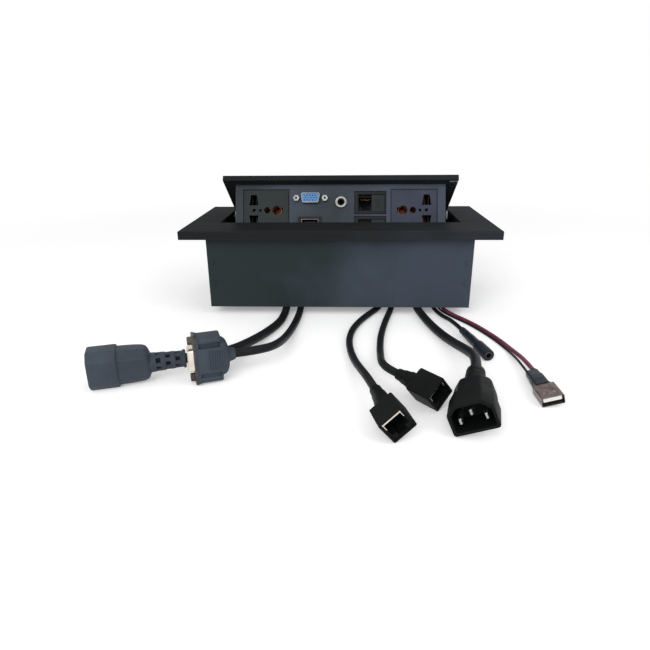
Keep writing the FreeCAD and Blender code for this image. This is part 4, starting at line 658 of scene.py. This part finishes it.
for side, key, roll, look, relief in (("left", "mains_left", -90.0, "grey_plastic", ringed_relief),
                                      ("right", "mains_right", 24.0, "black_plastic", plain_relief)):
    place = lead_end(key, roll)
    WITH[key] += [
        piece(f"plug_body_{side}", plug_body(), place, look, (f"mains_plug_{side}",)),
        piece(f"plug_relief_{side}", relief(), place, look),
        piece(f"plug_collars_{side}", plug_collars(), place, "black_plastic"),
        piece(f"plug_pins_{side}", plug_pins(), place, "steel", (f"mains_pins_{side}",)),
        piece(f"relief_core_{side}", relief_core(), place, "black_plastic"),
    ]


# Screen lead

D_LEAN = 10.0  # degrees of slant at each end of the D
HOOD_RIBS, HOOD_RIB_START, HOOD_RIB_PITCH = 7, 7.7, 1.5
POST_SPOTS = (-12.5, 12.5)


def d_outline(width, height, radius):
    """The D outline of a screen plug or socket that stands on end, with its long side towards +X."""
    lean = height * math.tan(math.radians(D_LEAN))
    w, h = width / 2, height / 2
    return rounded([(h, w), (h, -w), (-h, lean - w), (-h, w - lean)], radius)


def hood_core():
    """Middle of the hood, rounded towards the lead, with ribs across both broad faces."""
    sizes = [(-0.6, 6.2, 6.2, 3.0), (0.0, 7.4, 7.4, 3.6), (2.8, 8.6, 8.8, 4.0), (3.6, 9.0, 9.6, 4.0),
             (4.1, 11.2, 15.0, 4.4), (4.8, 13.0, 18.6, 4.6), (5.8, 14.2, 20.8, 4.2), (7.0, 14.8, 22.2, 3.6),
             (8.6, 15.0, 22.6, 3.0), (9.2, 14.9, 21.6, 2.6), (9.5, 14.8, 17.2, 1.2), (23.6, 14.8, 17.2, 1.0)]
    parts = [oblong_body(sizes, 5)]
    for rib in range(HOOD_RIBS):
        y = HOOD_RIB_START + rib * HOOD_RIB_PITCH
        for side in (-1, 1):
            parts.append(turned(tile(13.0, 0.85, 0.9, 0.3, (0, y, side * 7.45), 0.24), 90.0))
    return joined(parts)


def hood_wings():
    """The hood's two wings, each with a deep groove beside it, and the lip round the front."""
    half = [(5.0, 7.8), (5.0, 11.2), (6.5, 11.6), (6.6, 13.0), (5.2, 15.4)]
    corners = half + [(-x, z) for x, z in half[::-1]]
    corners += [(-x, -z) for x, z in half] + [(x, -z) for x, z in half[::-1]]
    tip_width, tip_height = 0.94, 0.965
    shrunk = [(x * tip_width, z * tip_height) for x, z in corners]
    outline, tip = rounded(corners, 0.7, 3), rounded(shrunk, 0.7, 3)
    wings = loft([(8.5, tip), (9.3, outline), (24.1, outline)])
    lip = oblong_body([(22.2, 13.0, 30.2, 2.2), (22.7, 14.0, 31.2, 2.4), (24.3, 14.0, 31.2, 2.4)])
    return joined([wings, lip])


def hood_flange():
    """Plate across the hood's front with rounded ends."""
    return oblong_body([(23.9, 12.0, 33.2, 3.4), (24.2, 12.5, 33.8, 3.6), (25.6, 12.5, 33.8, 3.6),
                        (25.9, 12.0, 33.3, 3.4)])


def hood_collar():
    """D-shaped collar, open at the front."""
    sizes = [(25.4, 17.9, 9.4, 2.0), (26.0, 17.2, 8.7, 1.7), (26.3, 16.9, 8.4, 1.6), (29.2, 16.9, 8.4, 1.6),
             (29.3, 16.7, 8.2, 1.5), (29.3, 16.1, 7.6, 1.3), (26.0, 15.9, 7.4, 1.2)]
    return loft([(y, d_outline(width, height, radius)) for y, width, height, radius in sizes])


def pin_holes():
    """Cutters for fifteen holes in three staggered rows along Z."""
    pitch, row_gap, shift, radius, sides = 2.3, 1.98, 0.575, 0.5, 12
    rear, front = 28.0, 29.0
    holes = []
    for row in (-1, 0, 1):
        for column in range(-2, 3):
            down = column * pitch + (shift if row == 0 else -shift)
            holes.append(round_body([(rear, radius), (front, radius)], sides, row * row_gap, -down))
    return joined(holes)


def hood_insert():
    """Insert inside the collar with three rows of five holes."""
    return carved(prism(26.0, 28.6, d_outline(15.8, 7.3, 1.2)), pin_holes())


def hood_post(z):
    """A hexagon nut with eased corners and a threaded hole."""
    sizes = [(25.7, 2.75), (28.35, 2.75), (28.7, 2.42), (28.7, 1.35), (28.4, 1.1), (26.3, 1.1)]
    return round_body(sizes, 6, 0.0, z)


place = lead_end("vga")
posts = joined([hood_post(z) for z in POST_SPOTS])
WITH["vga"] += [
    piece("hood_core", hood_core(), place, "grey_plastic", ("vga_hood",)),
    piece("hood_wings", hood_wings(), place, "grey_plastic", bevel=0.12),
    piece("hood_flange", hood_flange(), place, "dark_nickel", ("vga_lead_socket",)),
    piece("hood_collar", hood_collar(), place, "pale_nickel"),
    piece("hood_insert", hood_insert(), place, "black_plastic"),
    piece("hood_posts", posts, place, "dark_nickel"),
]


# Network leads

COUPLER_LENGTH = 18.4
COUPLER_ROLL = 40.0  # degrees
PORT_MIDDLE = 1.2  # height of the port's middle above the coupler's
CONTACTS, CONTACT_PITCH = 8, 1.02


def port_outline(width, height, latch, drop):
    """A network port's outline: a rectangle with a notch for the latch below it."""
    w, n = width / 2, latch / 2
    low, high = PORT_MIDDLE - height / 2, PORT_MIDDLE + height / 2
    notch = [(-n, low), (-n, low - drop), (n, low - drop), (n, low)]
    return [(-w, low)] + notch + [(w, low), (w, high), (-w, high)]


def coupler_shell(start):
    """Moulded shell of a network socket on a lead, open round its bright shield."""
    front = start + COUPLER_LENGTH
    body = oblong_body([
        (start, 12.6, 12.0, 2.0), (start + 0.7, 14.4, 13.8, 1.5), (start + 1.6, 15.6, 15.0, 1.1),
        (front - 0.4, 15.6, 15.0, 1.1), (front, 15.0, 14.4, 0.9), (front, 13.4, 12.8, 0.6),
        (front - 0.3, 13.1, 12.5, 0.5), (front - 1.2, 13.1, 12.5, 0.5)])
    return carved(body, prism(front - 12.0, front + 1, port_outline(11.4, 8.4, 6.2, 2.8)))


def coupler_relief(start):
    """Flared relief with two shallow steps."""
    rear, front = 3.6, 5.4
    return round_body([
        (-0.5, 2.7), (0.0, rear - 0.5), (0.5, rear), (start * 0.30, rear + 0.35),
        (start * 0.33, rear + 0.75), (start * 0.62, front - 0.55), (start * 0.66, front - 0.1),
        (start + 0.4, front)])


def coupler_mouth(start):
    """Black face round the port, set back inside the shell."""
    front = start + COUPLER_LENGTH - 0.75
    face = oblong_body([(front - 0.5, 13.0, 12.4, 0.5), (front, 13.0, 12.4, 0.5)])
    return carved(face, prism(front - 2, front + 1, port_outline(11.2, 8.2, 6.0, 2.5)))


def coupler_shield(start):
    """Bright edges of the folded shield along the port's upper side and the first bit of its flanks."""
    front = start + COUPLER_LENGTH - 0.7
    strip = tile(12.4, 0.7, 1.1, 0.15, (0, front, 5.75), 0.12)
    lips = [tile(0.5, 0.7, 3.6, 0.1, (side * 5.75, front, 3.8), 0.1) for side in (-1, 1)]
    return joined([strip] + lips)


def coupler_liner(start):
    """Folded lip of the shield just inside the port's upper side."""
    front = start + COUPLER_LENGTH - 0.8
    sizes = [(front - 9.0, 10.9, 0.35, 0.1), (front - 0.1, 10.9, 0.35, 0.1), (front, 10.7, 0.2, 0.08)]
    return oblong_body(sizes, 2, 0, 5.1)


def port_contacts(front, z, inward=-1):
    """Eight sprung gold wires slanting back into a port from its upper side."""
    width, thickness = 0.34, 0.3
    bends = ((1.6, 3.55), (2.4, 3.75), (9.5, -0.45), (10.1, -0.05))  # depth in the port, height over z
    wires = []
    for column in range(CONTACTS):
        x = (column - (CONTACTS - 1) / 2) * CONTACT_PITCH
        wires.append(loft([(front + inward * depth, rectangle(width, thickness, x, z + rise))
                           for depth, rise in bends]))
    return joined(wires)


for side, key, start in (("left", "net_left", 22.0), ("right", "net_right", 16.0)):
    place = lead_end(key, COUPLER_ROLL)
    WITH[key] += [
        piece(f"coupler_shell_{side}", coupler_shell(start), place, "black_plastic",
              (f"network_coupler_{side}",)),
        piece(f"coupler_relief_{side}", coupler_relief(start), place, "black_plastic"),
        piece(f"coupler_mouth_{side}", coupler_mouth(start), place, "black_plastic"),
        piece(f"coupler_shield_{side}", coupler_shield(start), place, "pale_nickel"),
        piece(f"coupler_liner_{side}", coupler_liner(start), place, "pale_nickel"),
        piece(f"coupler_contacts_{side}", port_contacts(start + COUPLER_LENGTH, PORT_MIDDLE), place,
              "gold"),
    ]


# Sound lead

def sound_body():
    """Relief with two collars, a neck and a round body with an open end."""
    sizes = [(-0.5, 1.75), (0.0, 2.3), (0.4, 2.6), (3.2, 2.75), (3.6, 2.35), (4.6, 2.35), (5.0, 2.8),
             (8.2, 2.9), (8.6, 2.45), (9.6, 2.45), (10.0, 2.95), (14.6, 3.05), (15.4, 3.1), (16.0, 3.25),
             (28.6, 3.3), (29.6, 3.5), (30.3, 3.9), (31.0, 4.15), (32.0, 4.2), (46.6, 4.2), (47.0, 4.0),
             (47.4, 4.0), (47.8, 4.2), (48.3, 4.15), (48.8, 3.8), (49.0, 3.3), (49.0, 2.4)]
    return round_body(sizes, end_cap=False)


def sound_bush():
    """Bright sleeve in the open end."""
    sizes = [(49.0, 2.45), (49.1, 2.3), (49.1, 2.0), (48.9, 1.85), (36.0, 1.85)]
    return round_body(sizes, start_cap=False)


place = lead_end("audio")
WITH["audio"] += [
    piece("sound_body", sound_body(), place, "navy_plastic", ("audio_lead_socket",)),
    piece("sound_bush", sound_bush(), place, "dark_nickel"),
]


# Charging lead

SHELL_START, SHELL_END = 20.0, 36.5
WINDOW_X, WINDOW_Y = 2.9, SHELL_END - 5.8  # the middle of a window and of the spring leaf in it
WALL_Z = 2.7  # the middle of the cuts through the shell's broad sides
CONTACT_SPOTS = (-3.5, -1.25, 1.25, 3.5)


def boot():
    """Flat moulded boot in three steps, with a sleeve on the red wire and a nib on the dark one."""
    sizes = [(-0.4, 7.2, 4.4, 1.7), (0.3, 8.0, 5.2, 1.9), (6.6, 8.3, 5.5, 1.9), (7.1, 8.7, 6.1, 1.6),
             (7.6, 8.8, 6.4, 1.5), (13.6, 8.8, 6.4, 1.5), (13.8, 8.3, 5.9, 1.3), (14.6, 8.3, 5.9, 1.3),
             (14.8, 8.8, 6.4, 1.5), (19.8, 8.8, 6.4, 1.3)]
    sleeve = round_body([(-3.4, 1.6), (-3.2, 1.95), (-1.0, 2.1), (2.0, 2.4)], 20, -2.13, -0.55)
    nib = round_body([(-1.6, 0.9), (-1.5, 1.15), (1.0, 1.5)], 16, 2.28)
    return joined([oblong_body(sizes), sleeve, nib])


def lead_shell():
    """Folded nickel shell with flared lips, windows and slits in both broad sides, a seam and three tabs."""
    start, end = SHELL_START, SHELL_END
    shell = oblong_body([
        (start, 11.6, 4.6, 0.5), (start + 0.2, 12.7, 5.5, 0.6), (start + 0.6, 13.1, 5.8, 0.6),
        (end - 0.5, 13.1, 5.8, 0.6), (end - 0.1, 13.2, 5.9, 0.6), (end, 13.0, 5.7, 0.5),
        (end, 12.4, 5.1, 0.35), (end - 0.4, 12.1, 4.8, 0.3), (start + 3.0, 12.1, 4.8, 0.3)])
    cutters = []
    for x in (-WINDOW_X, WINDOW_X):
        for z in (-WALL_Z, WALL_Z):
            cutters.append(tile(2.1, 2.8, 1.4, 0.2, (x, WINDOW_Y, z)))
            cutters.append(tile(0.3, 6.0, 1.4, 0.1, (x, start + 5.0, z)))
    cutters.append(tile(0.25, 12.0, 0.5, 0.02, (0.0, end - 6.0, -2.9)))
    tabs = [tile(2.4, 1.8, 0.5, 0.15, (x, start - 0.3, 2.4)) for x in (-3.6, 0.6, 4.2)]
    return joined([carved(shell, joined(cutters))] + tabs)


def lead_springs():
    """Spring leaves seen through the shell's windows."""
    parts = []
    for x in (-WINDOW_X, WINDOW_X):
        for side in (-1, 1):
            leaf = turned(tile(1.6, 2.6, 0.25, 0.05, (x, 0, 0)), -side * 9, "X")
            parts.append(moved(leaf, 0, WINDOW_Y, side * 2.5))
    return joined(parts)


def lead_tongue():
    """White insulator with a base at the back."""
    base = oblong_body([(20.6, 12.0, 4.7, 0.3), (23.0, 12.0, 4.7, 0.3)])
    sizes = [(22.5, 10.8, 2.7, 0.2), (35.4, 10.8, 2.7, 0.2), (35.8, 10.4, 2.3, 0.2)]
    return joined([base, oblong_body(sizes, 3, 0, 0.85)])


def tongue_contacts():
    """Four flat contacts below the insulator's tongue."""
    rear, front = 24.0, 34.6
    depth, middle = front - rear, (rear + front) / 2
    return joined([tile(1.0, depth, 0.12, 0.04, (x, middle, -0.55)) for x in CONTACT_SPOTS])


place = lead_end("usb_red", roll=14.6, sideways=2.2)
usb_pieces = [
    piece("usb_boot_moulding", boot(), place, "navy_plastic", ("usb_boot",)),
    piece("usb_shell", lead_shell(), place, "brown_nickel", ("usb_lead_socket",)),
    piece("usb_springs", lead_springs(), place, "nickel"),
    piece("usb_insulator", lead_tongue(), place, "white_plastic", ("usb_lead_tongue",)),
    piece("usb_contacts", tongue_contacts(), place, "gold"),
]
WITH["usb_red"] += usb_pieces
WITH["usb_dark"] += usb_pieces


# Each lead leaves the box at the comb's front; here each cord gets its finish, red for the red charging wire
# and black for the rest
for key, (_, length, thickness, end, stiffness) in LEADS.items():
    x, _, z = ROUTES[key][0]
    look = "cord_red" if key == "usb_red" else "cord_black"
    CORDS[key].data.materials.append(FINISH[look])


# Softer edges and the contacts of the network sockets in the panel

# Width in millimetres of the rounded edges that a CAD node gets
NODE_EDGES = {
    "bezel_frame": 0.35,
    "lid_plate": 0.3,
    "module_panel": 0.2,
    "housing_shell": 0.2,
    "bottom_cover": 0.2,
    "socket_face_left": 0.2,
    "socket_face_right": 0.2,
    "network_frame_upper": 0.15,
    "network_frame_lower": 0.15,
    "audio_nut": 0.2,
    "hdmi_housing": 0.15,
    "cable_comb": 0.3,
}
for name, width in NODE_EDGES.items():
    soften(nodes[name], width)

# The panel's own frame has its origin in the middle of the panel's top, y going in and z up along it
PANEL_TOP = (0, -0.005933, 0.103475)
PANEL_LEAN = -21.1  # degrees
PANEL = Matrix.Translation(PANEL_TOP) @ Matrix.Rotation(math.radians(PANEL_LEAN), 4, "X")
PORT_X, PORT_UPPER_Z, PORT_LOWER_Z = 22.5, -15.8, -37.6
for level, z in (("upper", PORT_UPPER_Z), ("lower", PORT_LOWER_Z)):
    contacts = moved(port_contacts(1.4, z - 0.6, 1), PORT_X)
    piece(f"port_contacts_{level}", contacts, PANEL, "gold", body="module")


# Latch coil and inner leads

COIL_FOOT = (0.1008, -0.019, 0.03845)
LEAD_SIDES = 20
DROP_Z, BEND_Z = 0.042, 0.021  # where an inner lead hangs behind the panel, and where it turns forward
BEND_SHARE = 0.6  # how much of the way from the comb to the drop is left at the bend, across the box
BEND_FORWARD = 3.0  # millimetres
COMB_REAR_Y, COMB_MIDDLE_Y, COMB_Z = 0.017, -0.005, 0.007


def ring(made, centre, across, other, radius, sides):
    """Vertices round a centre, in the plane of two directions at right angles."""
    angles = [2 * math.pi * k / sides for k in range(sides)]
    return [made.verts.new(centre + (across * math.cos(angle) + other * math.sin(angle)) * radius)
            for angle in angles]


def latch_coil():
    """Coil spring under the latch's plunger, from its foot to its top."""
    turns, steps, sides = 6, 24, 10
    across, wire, height = 2.4, 0.35, 17.3
    up = Vector((0, 0, 1))
    made = bmesh.new()
    rings = []
    for i in range(turns * steps + 1):
        angle = 2 * math.pi * i / steps
        out = Vector((math.cos(angle), math.sin(angle), 0.0))
        spot = out * across + up * (height * i / (turns * steps))
        rings.append(ring(made, spot, out, up, wire, sides))
    skin(made, rings)
    return made


def curve_points(points):
    """Points along the smooth curve that has these as its control points."""
    line = nurbs("line", points)
    mesh = bpy.data.meshes.new_from_object(line)
    spots = [vertex.co.copy() for vertex in mesh.vertices]
    bpy.data.objects.remove(line)
    bpy.data.meshes.remove(mesh)
    return spots


def tube_mesh(name, points, radius):
    """A tube round a smooth curve, as a mesh."""
    spots = curve_points(points)
    made = bmesh.new()
    rings = []
    across = Vector((1, 0, 0))
    for i, spot in enumerate(spots):
        way = (spots[min(i + 1, len(spots) - 1)] - spots[max(i - 1, 0)]).normalized()
        across = (across - way * across.dot(way)).normalized()
        rings.append(ring(made, spot, across, way.cross(across), radius, LEAD_SIDES))
    skin(made, rings)
    bmesh.ops.recalc_face_normals(made, faces=made.faces)
    return shaded(as_object(name, made), "cord_black")


coil = piece("latch_coil", latch_coil(), Matrix.Translation(COIL_FOOT), "steel", ("latch_spring",))
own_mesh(coil)

# Name, place behind the panel, straight run from there, x in the comb, radius, y and x of the drop
INNER = (
    ("inner_mains_left", (-64.8, 20.9, -23.9), 12.0, -46.6, 3.3, 38.0, -60.0),
    ("inner_screen", (-25.6, 13.5, -12.2), 16.0, -34.0, 2.9, 36.0, -28.0),
    ("inner_network_upper", (PORT_X, 21.3, PORT_UPPER_Z), 14.0, 40.5, 2.6, 41.0, 26.0),
    ("inner_network_lower", (PORT_X, 21.3, PORT_LOWER_Z), 10.0, 48.5, 2.6, 31.0, 33.0),
    ("inner_mains_right", (64.8, 20.9, -23.9), 12.0, 66.0, 3.3, 38.0, 65.0),
)
for name, (x, y, z), run, comb_x, radius, drop_y, drop_x in INNER:
    start = PANEL @ Vector((x * MM, y * MM, z * MM))
    second = PANEL @ Vector((x * MM, (y + run) * MM, z * MM))
    bend_x = comb_x + (drop_x - comb_x) * BEND_SHARE
    points = [tuple(start), tuple(second), (drop_x * MM, drop_y * MM, DROP_Z),
              (bend_x * MM, (drop_y - BEND_FORWARD) * MM, BEND_Z),
              (comb_x * MM, COMB_REAR_Y, COMB_Z), (comb_x * MM, COMB_MIDDLE_Y, COMB_Z)]
    wire = tube_mesh(name, points, radius * MM)
    if name == "inner_mains_left":
        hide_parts("inner_leads")
    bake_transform(wire)


# Ground, light and sky

WHITE = (1.0, 1.0, 1.0, 1.0)
GROUND_RADIUS = 1.2
GROUND_FADE = (0.3, 0.75)  # metres from the box at which the ground starts to fade, and is white
SKY_LIGHT = 0.56
LIGHT_AIM = (0, -0.05, 0.03)


def grey(level):
    """A scene-linear grey."""
    return (level, level, level, 1.0)


def direct_rays(tree):
    """One for rays from the camera and those mirrored or let through by the object, nought for the rest."""
    path = add(tree, "ShaderNodeLightPath").outputs
    seen = worked(tree, "MAXIMUM", path["Is Camera Ray"], path["Is Glossy Ray"])
    return worked(tree, "MAXIMUM", seen, path["Is Transmission Ray"])


def ground_material():
    """Pale ground, lit near the box and plain white away from it, and less bright as a source of light."""
    material = bpy.data.materials.new("ground")
    material.use_nodes = True
    tree = material.node_tree
    tree.nodes.clear()
    pale = add(tree, "ShaderNodeBsdfDiffuse", Color=grey(0.96)).outputs[0]
    glow = add(tree, "ShaderNodeEmission", Color=WHITE, Strength=0.25).outputs[0]
    near = add(tree, "ShaderNodeAddShader", i0=pale, i1=glow).outputs[0]
    white = add(tree, "ShaderNodeEmission", Color=WHITE, Strength=1.0).outputs[0]
    place = add(tree, "ShaderNodeTexCoord").outputs["Object"]
    away = add(tree, "ShaderNodeVectorMath", {"operation": "LENGTH"}, i0=place).outputs["Value"]
    fade = add(tree, "ShaderNodeMapRange", {"interpolation_type": "SMOOTHSTEP"}, i0=away,
               i1=GROUND_FADE[0], i2=GROUND_FADE[1]).outputs[0]
    shown = add(tree, "ShaderNodeMixShader", i0=fade, i1=near, i2=white).outputs[0]
    lit = add(tree, "ShaderNodeBsdfDiffuse", Color=grey(0.82)).outputs[0]
    mix = add(tree, "ShaderNodeMixShader", i0=direct_rays(tree), i1=lit, i2=shown)
    add(tree, "ShaderNodeOutputMaterial", i0=mix.outputs[0])
    return material


def add_floor():
    """The ground that the box and its leads stand on."""
    shape = bmesh.new()
    bmesh.ops.create_circle(shape, cap_ends=True, segments=96, radius=GROUND_RADIUS)
    ground = as_object("ground", shape)
    ground.data.materials.append(ground_material())


def add_light(name, place, size, power):
    """A square lamp that looks at the box."""
    data = bpy.data.lights.new(name, "AREA")
    data.size = size
    data.energy = power
    lamp = bpy.data.objects.new(name, data)
    lamp.location = place
    lamp.rotation_euler = (Vector(LIGHT_AIM) - Vector(place)).to_track_quat("-Z", "Y").to_euler()
    scene.collection.objects.link(lamp)


def add_sky():
    """White sky, which lights the box less than it shows."""
    world = bpy.data.worlds.new("sky")
    scene.world = world
    world.use_nodes = True
    tree = world.node_tree
    tree.nodes.clear()
    soft = add(tree, "ShaderNodeBackground", Color=WHITE, Strength=SKY_LIGHT).outputs[0]
    white = add(tree, "ShaderNodeBackground", Color=WHITE, Strength=1.0).outputs[0]
    mix = add(tree, "ShaderNodeMixShader", i0=direct_rays(tree), i1=soft, i2=white)
    add(tree, "ShaderNodeOutputWorld", i0=mix.outputs[0])


add_floor()
add_sky()
add_light("key", (-0.35, -1.2, 0.65), size=0.9, power=10.5)
add_light("fill", (0.9, -0.7, 0.8), size=1.0, power=4.0)
scene.view_settings.view_transform = "Standard"
